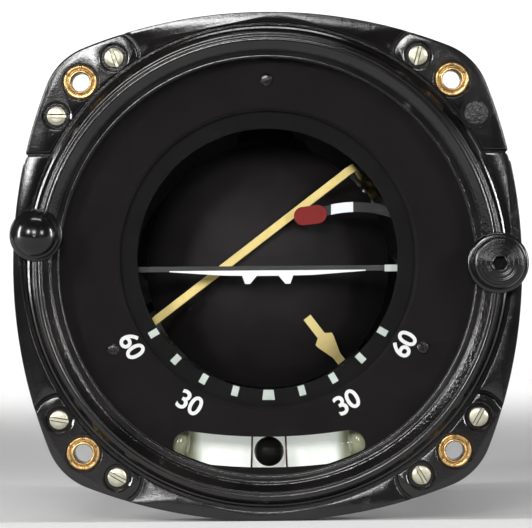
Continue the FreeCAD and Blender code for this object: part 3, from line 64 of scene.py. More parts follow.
MM = 0.001
print("nodes in the frame:", len(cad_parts))

# %% [markdown]
# ## Shader arithmetic
# Every finish is a small sum of noises. Wrapping a socket in a class with arithmetic
# operators lets a finish read as a formula, and one method adds any other node.

# %% A socket that can be added, multiplied and blended
class Value:
    def __init__(self, tree, socket):
        self.tree = tree
        self.socket = socket

    def plug(self, target):
        self.tree.links.new(self.socket, target)

    def math(self, kind, first, second, clamp=False):
        node = self.tree.nodes.new("ShaderNodeMath")
        node.operation = kind
        node.use_clamp = clamp
        for k, item in enumerate((first, second)):
            if isinstance(item, Value):
                item.plug(node.inputs[k])
            else:
                node.inputs[k].default_value = item
        return Value(self.tree, node.outputs[0])

    def __add__(self, other):
        return self.math("ADD", self, other)

    def __sub__(self, other):
        return self.math("SUBTRACT", self, other)

    def __mul__(self, other):
        return self.math("MULTIPLY", self, other)

    def __pow__(self, other):
        return self.math("POWER", self, other)

    def __rsub__(self, other):
        return self.math("SUBTRACT", other, self)

    __radd__ = __add__
    __rmul__ = __mul__

    def wave(self):
        return self.math("SINE", self, 0.0)

    def step(self, low, high):
        """0 below low, 1 above high, smooth between."""
        node = self.tree.nodes.new("ShaderNodeMapRange")
        node.interpolation_type = "SMOOTHSTEP"
        self.plug(node.inputs["Value"])
        node.inputs["From Min"].default_value = low
        node.inputs["From Max"].default_value = high
        return Value(self.tree, node.outputs["Result"])


# %% One finish, and the nodes it can use
class Finish:
    def __init__(self, name, colour, roughness, metallic=0.0):
        self.material = bpy.data.materials.new(name)
        self.material.use_nodes = True
        self.tree = self.material.node_tree
        self.shader = self.tree.nodes["Principled BSDF"]
        self.place = Value(self.tree, self.tree.nodes.new("ShaderNodeTexCoord").outputs["Object"])
        self.set("Base Color", colour + (1.0,))
        self.set("Roughness", roughness)
        self.set("Metallic", metallic)
        self.bumped = None

    def set(self, socket, value):
        if isinstance(value, Value):
            value.plug(self.shader.inputs[socket])
        else:
            self.shader.inputs[socket].default_value = value

    def node(self, kind, settings=(), **inputs):
        """Adds a node of any kind. The other keywords feed the inputs of those names."""
        made = self.tree.nodes.new(kind)
        for key, value in dict(settings).items():
            setattr(made, key, value)
        for key, value in inputs.items():
            socket = made.inputs[key]
            if isinstance(value, Value):
                value.plug(socket)
            else:
                socket.default_value = value
        return Value(self.tree, made.outputs[0])

    def noise(self, size, detail=2.0, roughness=0.5, stretch=None, distortion=0.0):
        """Noise from 0 to 1 whose lumps are about size millimetres across."""
        where = self.place
        if stretch:
            where = self.node("ShaderNodeVectorMath", settings={"operation": "MULTIPLY"}, Vector=where)
            where.socket.node.inputs[1].default_value = stretch
        return self.node("ShaderNodeTexNoise", Vector=where, Scale=1.0 / (size * MM), Detail=detail,
                         Roughness=roughness, Distortion=distortion)

    def radius(self, x=0.0, z=0.0):
        """Distance in millimetres from an axis along Y."""
        parts = self.tree.nodes.new("ShaderNodeSeparateXYZ")
        self.place.plug(parts.inputs[0])
        across = Value(self.tree, parts.outputs["X"]) * (1.0 / MM) - x
        up = Value(self.tree, parts.outputs["Z"]) * (1.0 / MM) - z
        return (across * across + up * up) ** 0.5

    def colours(self, share, first, second):
        """Blend of two colours. Each is a tuple or the result of another blend."""
        node = self.tree.nodes.new("ShaderNodeMix")
        node.data_type = "RGBA"
        share.plug(node.inputs[0])
        for socket, colour in ((node.inputs[6], first), (node.inputs[7], second)):
            if isinstance(colour, Value):
                colour.plug(socket)
            else:
                socket.default_value = colour + (1.0,)
        return Value(self.tree, node.outputs[2])

    def bump(self, height, distance, strength=1.0):
        """Relief of the given depth in millimetres, laid over any relief before it."""
        node = self.tree.nodes.new("ShaderNodeBump")
        node.inputs["Strength"].default_value = strength
        node.inputs["Distance"].default_value = distance * MM
        height.plug(node.inputs["Height"])
        if self.bumped:
            self.bumped.plug(node.inputs["Normal"])
        self.bumped = Value(self.tree, node.outputs["Normal"])
        self.bumped.plug(self.shader.inputs["Normal"])


finishes = {}
print("shader helpers ready")

# %% [markdown]
# ## Cast bezel enamel
# The bezel is cast and covered in a thick glossy black enamel. It lies smooth over lugs and
# panels, and has dried in fine wrinkles on the slope down to the window. Handling has left
# soft waves, duller patches and a few pale rubbed specks.

# %% Enamel
def make_enamel(name, wrinkled=False):
    f = Finish(name, (0.004, 0.004, 0.004), 0.2)
    patches = f.noise(14.0, 3.0)
    lumps = f.noise(0.40, 3.0, 0.6)
    specks = f.noise(0.30, 1.0).step(0.72, 0.80) * f.noise(6.0).step(0.50, 0.66)
    worn = f.noise(5.0, 4.0, 0.65).step(0.60, 0.76)
    black = f.colours(patches.step(0.35, 0.7), (0.0024, 0.0020, 0.0021), (0.0065, 0.0055, 0.0053))
    black = f.colours(worn * 0.5, black, (0.018, 0.016, 0.014))
    f.set("Base Color", f.colours(specks * 0.55, black, (0.11, 0.10, 0.09)))
    f.set("Roughness", 0.12 + patches * 0.08 + worn * 0.16 + specks * 0.3)
    f.set("Specular IOR Level", 0.5)
    f.bump(f.noise(2.6, 2.0), 0.035)
    if wrinkled:
        r = f.radius()
        slope = r.step(51.25, 51.6) * (1.0 - r.step(53.5, 53.9))
        grains = f.noise(0.75, 2.0, 0.7)
        f.bump(grains * slope, 0.085)
        f.bump(f.noise(0.5, 2.0, 0.6) * (1.0 - r.step(49.8, 50.0)), 0.07)
        f.bump(lumps, 0.015)
    else:
        f.bump(lumps, 0.022)
    finishes[name] = f.material


make_enamel("ring_enamel", True)
make_enamel("smooth_enamel")
print("enamel made")

# %% [markdown]
# ## Flat dial paints
# The mask, scale and dome are sprayed dead matte. Close up such paint is faintly mottled
# and has a few fine scuffs, which only change its shine.

# %% Matte paints
def make_matte(name, colour, roughness, mottle, scuff=(0.10, 0.10, 0.10), scuff_share=0.35,
               shine=0.35):
    f = Finish(name, colour, roughness)
    cloud = f.noise(9.0, 4.0, 0.6)
    grain = f.noise(0.12, 2.0)
    lines = f.noise(1.2, 2.0, 0.6, stretch=(0.25, 1.0, 1.7), distortion=0.6).step(0.66, 0.74)
    darker = tuple(c * (1.0 - mottle) for c in colour)
    lighter = tuple(min(1.0, c * (1.0 + mottle)) for c in colour)
    base = f.colours(cloud.step(0.3, 0.7), darker, lighter)
    f.set("Base Color", f.colours(lines * scuff_share, base, scuff))
    f.set("Roughness", roughness - lines * 0.14 + grain * 0.10)
    f.set("Specular IOR Level", shine)
    f.bump(grain, 0.012)
    f.bump(cloud, 0.05, 0.3)
    finishes[name] = f.material


make_matte("mask_paint", (0.0074, 0.0062, 0.0062), 0.62, 0.14, (0.016, 0.014, 0.014), 0.4, 0.07)
make_matte("scale_paint", (0.0060, 0.0055, 0.0058), 0.65, 0.2, (0.012, 0.012, 0.012), 0.3, 0.08)
make_matte("dome_paint", (0.0120, 0.0102, 0.0102), 0.55, 0.2, (0.014, 0.013, 0.014), 0.3, 0.16)
make_matte("blade_paint", (0.030, 0.030, 0.031), 0.5, 0.2)
make_matte("flag_arm_paint", (0.013, 0.013, 0.014), 0.5, 0.2)
make_matte("case_paint", (0.016, 0.016, 0.017), 0.42, 0.25)
make_matte("mark_paint", (0.46, 0.52, 0.47), 0.6, 0.12, (0.32, 0.36, 0.31), 0.5)
make_matte("numeral_paint", (0.68, 0.69, 0.68), 0.55, 0.05, (0.55, 0.55, 0.53), 0.4)
make_matte("symbol_paint", (0.82, 0.83, 0.84), 0.5, 0.04, (0.62, 0.62, 0.60), 0.4)
make_matte("wire_lacquer", (0.060, 0.018, 0.010), 0.35, 0.4)
make_matte("insulator_brown", (0.16, 0.075, 0.03), 0.45, 0.25)
make_matte("rubber_black", (0.016, 0.016, 0.016), 0.7, 0.2)
make_matte("coil_iron", (0.11, 0.11, 0.12), 0.45, 0.3)
print("paints made:", len(finishes))

# %% [markdown]
# ## Luminous and signal paints
# The horizon bar and pointer carry a thick pale yellow paint with tiny grains and a browner
# tone where it has aged. The pointer's yellow is lighter than the bar's, as painted light for
# the shade it lies in deep in the dome's well. The flag is a harder red enamel with a few chips.

# %% Yellow and red paints
def make_signal(name, colour, aged, chip, roughness):
    f = Finish(name, colour, roughness)
    cloud = f.noise(3.5, 4.0, 0.65)
    grain = f.noise(0.22, 2.0)
    chips = f.noise(0.8, 3.0, 0.7).step(0.72, 0.75)
    base = f.colours(cloud.step(0.45, 0.85), colour, aged)
    f.set("Base Color", f.colours(chips * 0.7, base, chip))
    f.set("Roughness", roughness + grain * 0.12)
    f.set("Specular IOR Level", 0.18)
    f.bump(grain, 0.03)
    finishes[name] = f.material


make_signal("bar_paint", (0.82, 0.66, 0.25), (0.70, 0.50, 0.16), (0.45, 0.34, 0.14), 0.52)
make_signal("flag_red", (0.20, 0.010, 0.008), (0.14, 0.007, 0.006), (0.32, 0.06, 0.05), 0.42)
make_signal("flag_white", (0.80, 0.83, 0.85), (0.70, 0.72, 0.72), (0.4, 0.4, 0.4), 0.42)
# Painted light: the pointer's yellow is a lighter copy of the bar's, making up for the shade of the dome's
# well.
make_signal("pointer_paint_painted_light", (0.96, 0.78, 0.34), (0.84, 0.62, 0.22), (0.5, 0.38, 0.16), 0.52)
print("signal paints made")

# %% [markdown]
# ## Metals
# The screws are plated steel, pale and slightly warm; the bushes are turned brass gone
# brown in their corners. Fine rings or strokes left by the tool break up the highlight.

# %% Metals
def make_metal(name, colour, stain, roughness, stain_share=0.5, grime=0.35):
    f = Finish(name, colour, roughness, 1.0)
    spots = f.noise(1.3, 4.0, 0.65).step(0.42, 0.72)
    strokes = f.noise(0.10, 2.0, 0.5, stretch=(1.0, 1.0, 0.12))
    pits = f.noise(0.30, 2.0).step(0.70, 0.78)
    base = f.colours(spots * stain_share, colour, stain)
    f.set("Base Color", f.colours(pits * grime, base, tuple(c * 0.25 for c in stain)))
    f.set("Roughness", roughness + spots * 0.16 + strokes * 0.10)
    f.bump(strokes, 0.006)
    f.bump(spots, 0.02, 0.4)
    finishes[name] = f.material


make_metal("plated_screw", (0.40, 0.385, 0.30), (0.22, 0.20, 0.14), 0.30)
# slot_shadow is painted shade: a dark finish for the sides of the screw slots and the bush stakes.
make_metal("slot_shadow", (0.035, 0.028, 0.015), (0.02, 0.016, 0.01), 0.6)
make_metal("old_brass", (0.50, 0.33, 0.14), (0.14, 0.07, 0.025), 0.22, 0.75)
make_metal("bright_steel", (0.60, 0.60, 0.61), (0.38, 0.36, 0.34), 0.28)
make_metal("cast_alloy", (0.62, 0.63, 0.64), (0.45, 0.45, 0.45), 0.45)
make_metal("heavy_metal", (0.58, 0.50, 0.36), (0.38, 0.30, 0.20), 0.32)
print("metals made")

# %% [markdown]
# ## Moulded black and mastic
# The knob is polished black plastic, the button turned black plastic, and one screw is
# buried under black mastic. Finger marks show as duller patches on the polish.

# %% Blacks that shine
def make_gloss(name, colour, roughness, relief, size, turned_about=None, shine=0.5):
    f = Finish(name, colour, roughness)
    f.set("Specular IOR Level", shine)
    prints = f.noise(2.4, 3.0, 0.6)
    fine = f.noise(size, 2.0)
    dust = f.noise(0.18, 1.0).step(0.73, 0.80)
    f.set("Base Color", f.colours(dust * 0.5, colour, (0.16, 0.16, 0.16)))
    f.set("Roughness", roughness + prints.step(0.45, 0.75) * 0.10 + dust * 0.3)
    f.bump(fine, relief)
    if turned_about:
        f.bump((f.radius(*turned_about) * (2.0 * math.pi / 0.38)).wave(), 0.022)
    finishes[name] = f.material


make_gloss("knob_black", (0.004, 0.0035, 0.0035), 0.17, 0.006, 1.4, None, 0.4)
make_gloss("button_black", (0.005, 0.005, 0.0052), 0.17, 0.004, 0.9, (54.5, 0.4), 0.4)
make_gloss("dark_screw", (0.006, 0.0055, 0.0055), 0.22, 0.008, 0.5)
make_gloss("ball_black", (0.004, 0.003, 0.004), 0.30, 0.002, 0.6, None, 0.08)
make_gloss("mastic_black", (0.006, 0.005, 0.006), 0.26, 0.55, 0.8)
print("glossy blacks made")

# %% [markdown]
# ## Glass and the tray behind it
# The window is flat and clean, so it is nearly invisible: a low alpha leaves only a trace
# of its surface. The bent tube is thicker, and shows a soft streak along its length.

# %% The tray behind the tube
def make_tray_with_painted_glow(name):
    """White paint with a faint glow, which is painted light standing in for front light. Near the tube's
    ends it lies under the seal and looks olive.
    """
    f = Finish(name, (0.9, 0.92, 0.88), 0.5)
    parts = f.tree.nodes.new("ShaderNodeSeparateXYZ")
    f.place.plug(parts.inputs[0])
    x = Value(f.tree, parts.outputs["X"]) * (1.0 / MM)
    sealed = ((x * x) ** 0.5).step(15.6, 18.6)
    cloud = f.noise(5.0, 3.0)
    base = f.colours(cloud.step(0.35, 0.7), (0.93, 0.95, 0.90), (0.86, 0.90, 0.84))
    f.set("Base Color", f.colours(sealed, base, (0.30, 0.31, 0.20)))
    f.set("Roughness", 0.45 + cloud * 0.15)
    # Painted light: a faint glow over the white tray, dimmer and olive under the seals.
    f.set("Emission Color", f.colours(sealed, (0.93, 1.0, 0.93), (0.14, 0.15, 0.08)))
    f.set("Emission Strength", 0.48)
    f.bump(f.noise(0.3, 2.0), 0.01)
    finishes[name] = f.material


make_tray_with_painted_glow("tray_paint_painted_glow")


# %% Glass
def make_glass(name, colour, alpha, roughness):
    f = Finish(name, colour, roughness)
    smear = f.noise(16.0, 3.0)
    f.set("Alpha", alpha + smear.step(0.5, 0.8) * (alpha * 0.4))
    f.set("Roughness", roughness + smear * 0.06)
    f.set("IOR", 1.5)
    finishes[name] = f.material


make_glass("window_glass", (0.004, 0.005, 0.005), 0.030, 0.02)
make_glass("tube_glass", (0.020, 0.022, 0.012), 0.10, 0.03)
make_gloss("seal_glass", (0.34, 0.35, 0.23), 0.08, 0.02, 1.0)
print("finishes:", len(finishes))

# %% [markdown]
# ## Painting the frame's own nodes
# A node keeps its shape and only gets a finish. The list says which finish each one takes.

# %% Paint the frame
node_finish = {
    "window_glass": "window_glass", "glass_gasket": "rubber_black", "glass_retainer": "bright_steel",
    "bezel_screws": "plated_screw", "flange_bushes": "old_brass", "seal_cup": "smooth_enamel",
    "seal_plug": "mastic_black", "case_body": "case_paint", "mount_flange": "case_paint",
    "rear_cover": "case_paint", "bulkhead": "cast_alloy", "bearing_bridge": "cast_alloy",
    "roll_bearings": "bright_steel", "rear_screws": "plated_screw", "dial_frame": "scale_paint",
    "guide_rods": "scale_paint", "dial_mask": "mask_paint", "mask_screws": "dark_screw",
    "scale_ring": "scale_paint", "bank_marks": "mark_paint", "slip_tube": "tube_glass",
    "slip_wires": "wire_lacquer", "slip_tray": "tray_paint_painted_glow", "slip_ball": "ball_black",
    "aircraft_symbol": "symbol_paint", "symbol_carriage": "blade_paint", "trim_bush": "old_brass",
    "trim_pinion": "bright_steel", "trim_knob": "knob_black", "cage_bush": "old_brass",
    "cage_button": "button_black", "cage_rod": "bright_steel", "cage_spring": "bright_steel",
    "flag_arm": "flag_arm_paint", "flag_paddle": "flag_red", "flag_band": "flag_white",
    "flag_magnet": "coil_iron", "sky_dome": "dome_paint", "roll_pointer": "pointer_paint_painted_light",
    "gimbal_frame": "cast_alloy", "pitch_races": "bright_steel", "bar_pivots": "bright_steel",
    "roll_shaft": "bright_steel", "slip_rings": "insulator_brown", "torquer_rotor": "coil_iron",
    "torquer_stator": "coil_iron", "brush_block": "insulator_brown", "horizon_bar": "bar_paint",
    "pitch_sector": "old_brass", "gyro_housing": "cast_alloy", "gyro_cap": "cast_alloy",
    "spin_bearings": "bright_steel", "gyro_stator": "coil_iron", "gyro_rotor": "heavy_metal",
    "trunnion_pinion": "old_brass", "plug_shell": "cast_alloy",
    "plug_insert": "insulator_brown", "plug_pins": "old_brass", "plug_screws": "plated_screw",
    "bezel": "smooth_enamel",
}
for node_name, finish_name in node_finish.items():
    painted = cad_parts[node_name]
    painted.data.materials.clear()
    painted.data.materials.append(finishes[finish_name])
print("painted:", len(node_finish), "left:", sorted(set(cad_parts) - set(node_finish)))

# %% [markdown]
# ## Mesh helpers
# New pieces are made in bmesh with the object at the origin, so that the place is in the
# mesh. Edges sharper than an angle stay sharp and the rest are shaded smooth.

# %% From bmesh to a finished piece
def add_object(name, data):
    """New object that shows the data, in the scene."""
    made = bpy.data.objects.new(name, data)
    bpy.context.scene.collection.objects.link(made)
    return made


def baked(source):
    """Mesh of an object as its modifiers leave it."""
    bpy.context.view_layer.update()
    graph = bpy.context.evaluated_depsgraph_get()
    return bpy.data.meshes.new_from_object(source.evaluated_get(graph))


def finish_piece(bm, name, body, finish, sharp=35.0):
    bmesh.ops.recalc_face_normals(bm, faces=bm.faces)
    limit = math.radians(sharp)
    for edge in bm.edges:
        edge.smooth = len(edge.link_faces) == 2 and edge.calc_face_angle(0.0) < limit
    for face in bm.faces:
        face.smooth = True
    mesh = bpy.data.meshes.new(name)
    bm.to_mesh(mesh)
    bm.free()
    piece = add_object(name, mesh)
    mesh.materials.append(finishes[finish])
    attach(piece, body)
    print(name, "has", len(mesh.polygons), "faces")
    return piece


def prism(bm, points, y_front, y_back, edge=0.0):
    """Flat plate with an outline of (x, z) points and a rounded front edge."""
    ring = [bm.verts.new((x * MM, y_front * MM, z * MM)) for x, z in points]
    face = bm.faces.new(ring)
    grown = bmesh.ops.extrude_face_region(bm, geom=[face])["geom"]
    back = [item for item in grown if isinstance(item, bmesh.types.BMVert)]
    bmesh.ops.translate(bm, verts=back, vec=(0.0, (y_back - y_front) * MM, 0.0))
    if edge:
        rim = list(face.edges)
        bmesh.ops.bevel(bm, geom=rim, offset=edge * MM, offset_type="OFFSET", segments=3,
                        profile=0.5, affect="EDGES", material=-1, clamp_overlap=True)


def lathe(bm, profile, centre=(0.0, 0.0), steps=96):
    """Closed loop of (radius, y) points turned about an axis along Y."""
    cx, cz = centre
    ring = [bm.verts.new(((cx + r) * MM, y * MM, cz * MM)) for r, y in profile]
    loop = [bm.edges.new((a, b)) for a, b in zip(ring, ring[1:] + ring[:1])]
    bmesh.ops.spin(bm, geom=ring + loop, cent=(cx * MM, 0.0, cz * MM), axis=(0.0, 1.0, 0.0),
                   angle=2.0 * math.pi, steps=steps, use_merge=True)
    bmesh.ops.remove_doubles(bm, verts=bm.verts, dist=1e-7)


def rounded(corners, steps=4):
    """Profile with each corner (r, y, rounding) replaced by a small arc."""
    points = []
    for k, (r, y, size) in enumerate(corners):
        here = Vector((r, y))
        if not size:
            points.append((r, y))
            continue
        before = Vector(corners[k - 1][:2]) - here
        after = Vector(corners[(k + 1) % len(corners)][:2]) - here
        size = min(size, before.length * 0.49, after.length * 0.49)
        start = here + before.normalized() * size
        end = here + after.normalized() * size
        for s in range(steps + 1):
            t = s / steps
            spot = start * (1 - t) ** 2 + here * 2 * t * (1 - t) + end * t ** 2
            points.append((spot.x, spot.y))
    return points


def drill(tool, targets, tool_finishes=()):
    """Takes the tool's shape out of each target. Cut faces keep the tool's own finishes."""
    bmesh.ops.recalc_face_normals(tool, faces=tool.faces)
    mesh = bpy.data.meshes.new("cutter")
    tool.to_mesh(mesh)
    tool.free()
    for finish in tool_finishes:
        mesh.materials.append(finishes[finish])
    cutter = add_object("cutter", mesh)
    for target in targets:
        cut = target.modifiers.new("cut", "BOOLEAN")
        cut.operation, cut.solver, cut.object = "DIFFERENCE", "EXACT", cutter
        cut.material_mode = "TRANSFER" if tool_finishes else "INDEX"
        cut_mesh = baked(target)
        target.modifiers.clear()
        target.data = cut_mesh
        print(target.name, "cut:", len(cut_mesh.polygons), "faces")
    bpy.data.objects.remove(cutter)


print("mesh helpers ready")

# %% [markdown]
# ## The bezel's outline
# The face is a bowed square: four long side arcs joined by short corner arcs. A function
# that gives the outline's distance from the centre in any direction is enough to trace
# every raised panel, because each lies between the window ring and the outline.

# %% Outline of the bowed square
HALF, SIDE_R, LUG_C = 60.3, 118.0, 37.5
RING_FOOT = 58.0
BACK = SIDE_R - HALF
REACH = math.hypot(LUG_C, LUG_C + BACK)
CORNER_R = SIDE_R - REACH
TANGENT = SIDE_R * LUG_C / REACH


def outline_reach(angle):
    """Distance from the centre to the outline in a direction."""
    x, z = abs(math.cos(angle)), abs(math.sin(angle))
    x, z = max(x, z), min(x, z)
    t = -BACK * x + math.sqrt((BACK * x) ** 2 - BACK ** 2 + SIDE_R ** 2)
    if t * z > TANGENT:
        along = LUG_C * (x + z)
        t = along + math.sqrt(along ** 2 - 2 * LUG_C ** 2 + CORNER_R ** 2)
    return t


print("mid side", round(outline_reach(0.0), 2), "corner", round(outline_reach(math.pi / 4), 2))

# %% [markdown]
# Each lug ends in an arc round its outer screw. The same arc, made larger by the groove's
# width, ends the panel beside it. The arc is cut off where it meets the outline and where
# it meets the ring, and both places are found by halving the angle step by step.

# %% Arcs that end the lugs and panels
SCREW = (36.0, 49.7)
LAND_R, GROOVE = 5.7, 0.7
LUG_END = 27.2


def crossing(test, low, high):
    """Angle between low and high where test changes sign."""
    for _ in range(40):
        middle = (low + high) / 2
        if (test(middle) > 0) == (test(low) > 0):
            low = middle
        else:
            high = middle
    return low


def end_arc(radius, steps=14):
    """Arc round the upper screw of the +X +Z lug, from the outline to the ring's foot."""
    def spot(a):
        return (SCREW[0] + radius * math.cos(a), SCREW[1] + radius * math.sin(a))

    def past_outline(a):
        x, z = spot(a)
        return math.hypot(x, z) - outline_reach(math.atan2(z, x))

    def past_ring(a):
        return math.hypot(*spot(a)) - RING_FOOT

    first = crossing(past_outline, math.radians(80), math.radians(150))
    last = crossing(past_ring, math.radians(140), math.radians(215))
    return [spot(first + (last - first) * k / steps) for k in range(steps + 1)]


def swap(points):
    """Mirror across the corner's diagonal."""
    return [(z, x) for x, z in reversed(points)]


def arc_points(reach, start, end, steps):
    """Points at reach(angle) from the centre."""
    return [(reach(a) * math.cos(a), reach(a) * math.sin(a))
            for a in (start + (end - start) * k / steps for k in range(1, steps))]


def angle_of(point):
    return math.atan2(point[1], point[0])


lug_arc, panel_arc = end_arc(LAND_R), end_arc(LAND_R + GROOVE)
print("lug arc starts at", [round(v, 1) for v in lug_arc[0]])

# %% [markdown]
# ## Lugs
# A lug's outline runs up the bezel's corner, round the screw's arc, and back along the
# ring. The two upper lugs end in a straight edge instead of a second arc.

# %% Lug outlines
def straight_end(z):
    """Level edge from the ring's foot to the outline."""
    inner = (math.sqrt(RING_FOOT ** 2 - z ** 2), z)
    outer = (math.sqrt(SIDE_R ** 2 - z ** 2) - BACK, z)
    return [inner, outer]


def lug_outline(straight):
    start = straight_end(LUG_END) if straight else swap(lug_arc)
    outer = arc_points(outline_reach, angle_of(start[-1]), angle_of(lug_arc[0]), 70)
    inner = arc_points(lambda a: RING_FOOT, angle_of(lug_arc[-1]), angle_of(start[0]), 40)
    return start + outer + lug_arc + inner


def placed(points, sx, sz):
    """The +X +Z outline carried to another corner, still counterclockwise."""
    moved = [(sx * x, sz * z) for x, z in points]
    return moved if sx * sz > 0 else moved[::-1]


corners = [(sx, sz) for sz in (1, -1) for sx in (-1, 1)]
print("upper lug:", len(lug_outline(True)), "points")

# %% [markdown]
# ## Panels
# Between the lugs lie four raised panels: a crescent above, one below, and one at each
# side. The side panels start with a rounded corner under the upper lugs, which leaves the
# small notch that shows in the bezel's silhouette.

# %% Panel outlines
NOTCH_R = 2.5
NOTCH_EDGE = math.sqrt(SIDE_R ** 2 - LUG_END ** 2) - BACK
NOTCH_X, NOTCH_Z = NOTCH_EDGE - NOTCH_R + 0.2, LUG_END - NOTCH_R


def notch_corner():
    """Top end of the right side panel, from the ring's foot round to the outline."""
    top = LUG_END - GROOVE
    first = math.asin((top - NOTCH_Z) / NOTCH_R)
    arc = [(NOTCH_X + NOTCH_R * math.cos(first * k / 8), NOTCH_Z + NOTCH_R * math.sin(first * k / 8))
           for k in range(8, -1, -1)]
    kept = [p for p in arc if math.hypot(*p) < outline_reach(angle_of(p))]
    return [(math.sqrt(RING_FOOT ** 2 - top ** 2), top)] + kept


def crescent():
    """Upper panel, counterclockwise from its right end."""
    right = panel_arc[::-1]
    left = [(-x, z) for x, z in panel_arc]
    outer = arc_points(outline_reach, angle_of(right[-1]), angle_of(left[0]), 90)
    inner = arc_points(lambda a: RING_FOOT, angle_of(left[-1]), angle_of(right[0]), 90)
    return right + outer + left + inner


def side_panel():
    """Right panel, counterclockwise from its lower end."""
    lower = [(x, -z) for x, z in swap(panel_arc)]
    lower = lower if math.hypot(*lower[0]) < math.hypot(*lower[-1]) else lower[::-1]
    upper = notch_corner()[::-1]
    outer = arc_points(outline_reach, angle_of(lower[-1]), angle_of(upper[0]), 90)
    inner = arc_points(lambda a: RING_FOOT, angle_of(upper[-1]), angle_of(lower[0]), 70)
    return lower + outer + upper + inner


print("crescent:", len(crescent()), "side:", len(side_panel()))

# %% [markdown]
# ## Building the bezel
# The base plate, lugs and panels are plates of different height. The edges are rounded
# with a bevel so that they catch a thin line of light, as enamel over a cast edge does.

# %% Levels of the face, and how its plates overlap
Y_MASK, Y_JOINT = -5.4, -6.0
Y_FLOOR, Y_LUG, Y_PANEL = -9.1, -10.0, -10.6
Y_CREST, Y_BOSS = -13.0, -13.5
EDGE_ROUND, SUNK, PLATE_HOLE_R = 0.45, 0.3, 57.0
print("bezel stands", Y_JOINT - Y_BOSS, "mm high")


# %% Base plate, lugs and panels
def notched_reach(angle):
    """Outline with the two notches under the upper lugs."""
    reach = outline_reach(angle)
    x, z = reach * math.cos(angle), reach * math.sin(angle)
    if not NOTCH_Z < z < LUG_END:
        return reach
    depth = NOTCH_X + math.sqrt(NOTCH_R ** 2 - (z - NOTCH_Z) ** 2)
    return min(reach, reach * depth / abs(x)) if abs(x) > depth else reach


def ring_plate(bm, inner_r, y_front, y_back, steps=720):
    """Plate between a circle and the outline, as rings of four points."""
    loops = []
    for k in range(steps):
        a = 2 * math.pi * k / steps
        out = notched_reach(a)
        section = ((inner_r, y_front), (out, y_front), (out, y_back), (inner_r, y_back))
        loops.append([bm.verts.new((r * math.cos(a) * MM, y * MM, r * math.sin(a) * MM))
                      for r, y in section])
    for k in range(steps):
        for j in range(4):
            i = (j + 1) % 4
            m = (k + 1) % steps
            bm.faces.new((loops[k][j], loops[m][j], loops[m][i], loops[k][i]))


bm = bmesh.new()
ring_plate(bm, PLATE_HOLE_R, Y_FLOOR, Y_JOINT)
base_plate = finish_piece(bm, "bezel_base", "case", "smooth_enamel")
bm = bmesh.new()
for sx, sz in corners:
    prism(bm, placed(lug_outline(sz > 0), sx, sz), Y_LUG, Y_FLOOR + SUNK, EDGE_ROUND)
lugs = finish_piece(bm, "bezel_lugs", "case", "smooth_enamel")
bm = bmesh.new()
for sz in (1, -1):
    prism(bm, placed(crescent(), 1, sz), Y_PANEL, Y_FLOOR + SUNK, EDGE_ROUND)
for sx in (1, -1):
    prism(bm, placed(side_panel(), sx, 1), Y_PANEL, Y_FLOOR + SUNK, EDGE_ROUND)
finish_piece(bm, "bezel_panels", "case", "smooth_enamel")

# %% [markdown]
# ## The window ring
# One turned profile: a steep outer face that takes the main highlight, a flat crest, a
# rough slope down to a fine lip, and a smooth band that ends at the glass.

# %% Window ring
VIEW_R, GLASS_BACKING = 49.5, -10.05
RING_OUT, RING_BACK = 57.3, -8.0
band = [(VIEW_R, Y_PANEL, 0.28), (50.7, Y_PANEL - 0.05, 0.12), (51.2, Y_PANEL - 0.08, 0.08)]
lip_and_slope = [(51.35, Y_PANEL - 1.05, 0.12), (51.75, Y_PANEL - 1.12, 0.15),
                 (53.45, Y_CREST + 0.40, 0.12)]
crest = [(53.6, Y_CREST, 0.12), (53.95, Y_CREST, 0.12), (54.15, Y_CREST + 0.18, 0.08),
         (54.35, Y_CREST + 0.10, 0.10), (54.75, Y_CREST + 0.10, 0.18),
         (55.10, Y_CREST + 0.55, 0.10), (55.35, Y_CREST + 0.55, 0.10)]
outer_face = [(56.35, Y_PANEL - 0.15, 0.20), (56.9, Y_PANEL + 0.25, 0.15),
              (RING_OUT, Y_FLOOR + 0.1, 0.2)]
back = [(RING_OUT, RING_BACK, 0), (52.0, RING_BACK, 0), (52.0, GLASS_BACKING, 0)]
ring_profile = [(VIEW_R, GLASS_BACKING, 0)] + band + lip_and_slope + crest + outer_face + back
bm = bmesh.new()
lathe(bm, rounded(ring_profile), steps=256)
finish_piece(bm, "bezel_ring", "case", "ring_enamel", 40.0)

# %% [markdown]
# ## Bosses for the knob and the button
# Two round bosses stand on the ring at the sides and guide the knob's shaft and the
# button's sleeve. They are turned with a rounded shoulder.

# %% Bosses
KNOB, BUTTON, SHAFT_HOLE = (-54.7, 7.8), (54.5, 0.4), 2.35
for boss_name, centre, radius in (("knob_boss", KNOB, 6.3), ("button_boss", BUTTON, 7.3)):
    bm = bmesh.new()
    lathe(bm, rounded([(SHAFT_HOLE, Y_BOSS, 0), (radius, Y_BOSS, 0.9), (radius, Y_JOINT, 0),
                       (SHAFT_HOLE, Y_JOINT, 0)]), centre, 72)
    finish_piece(bm, boss_name, "case", "smooth_enamel", 50.0)
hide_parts("bezel")

# %% [markdown]
# ## Holes in the lugs
# The screws and bushes sit in counterbores with a slightly flared mouth. One cutter holds
# all the turned plugs, and a boolean takes it out of the plate and the lugs.

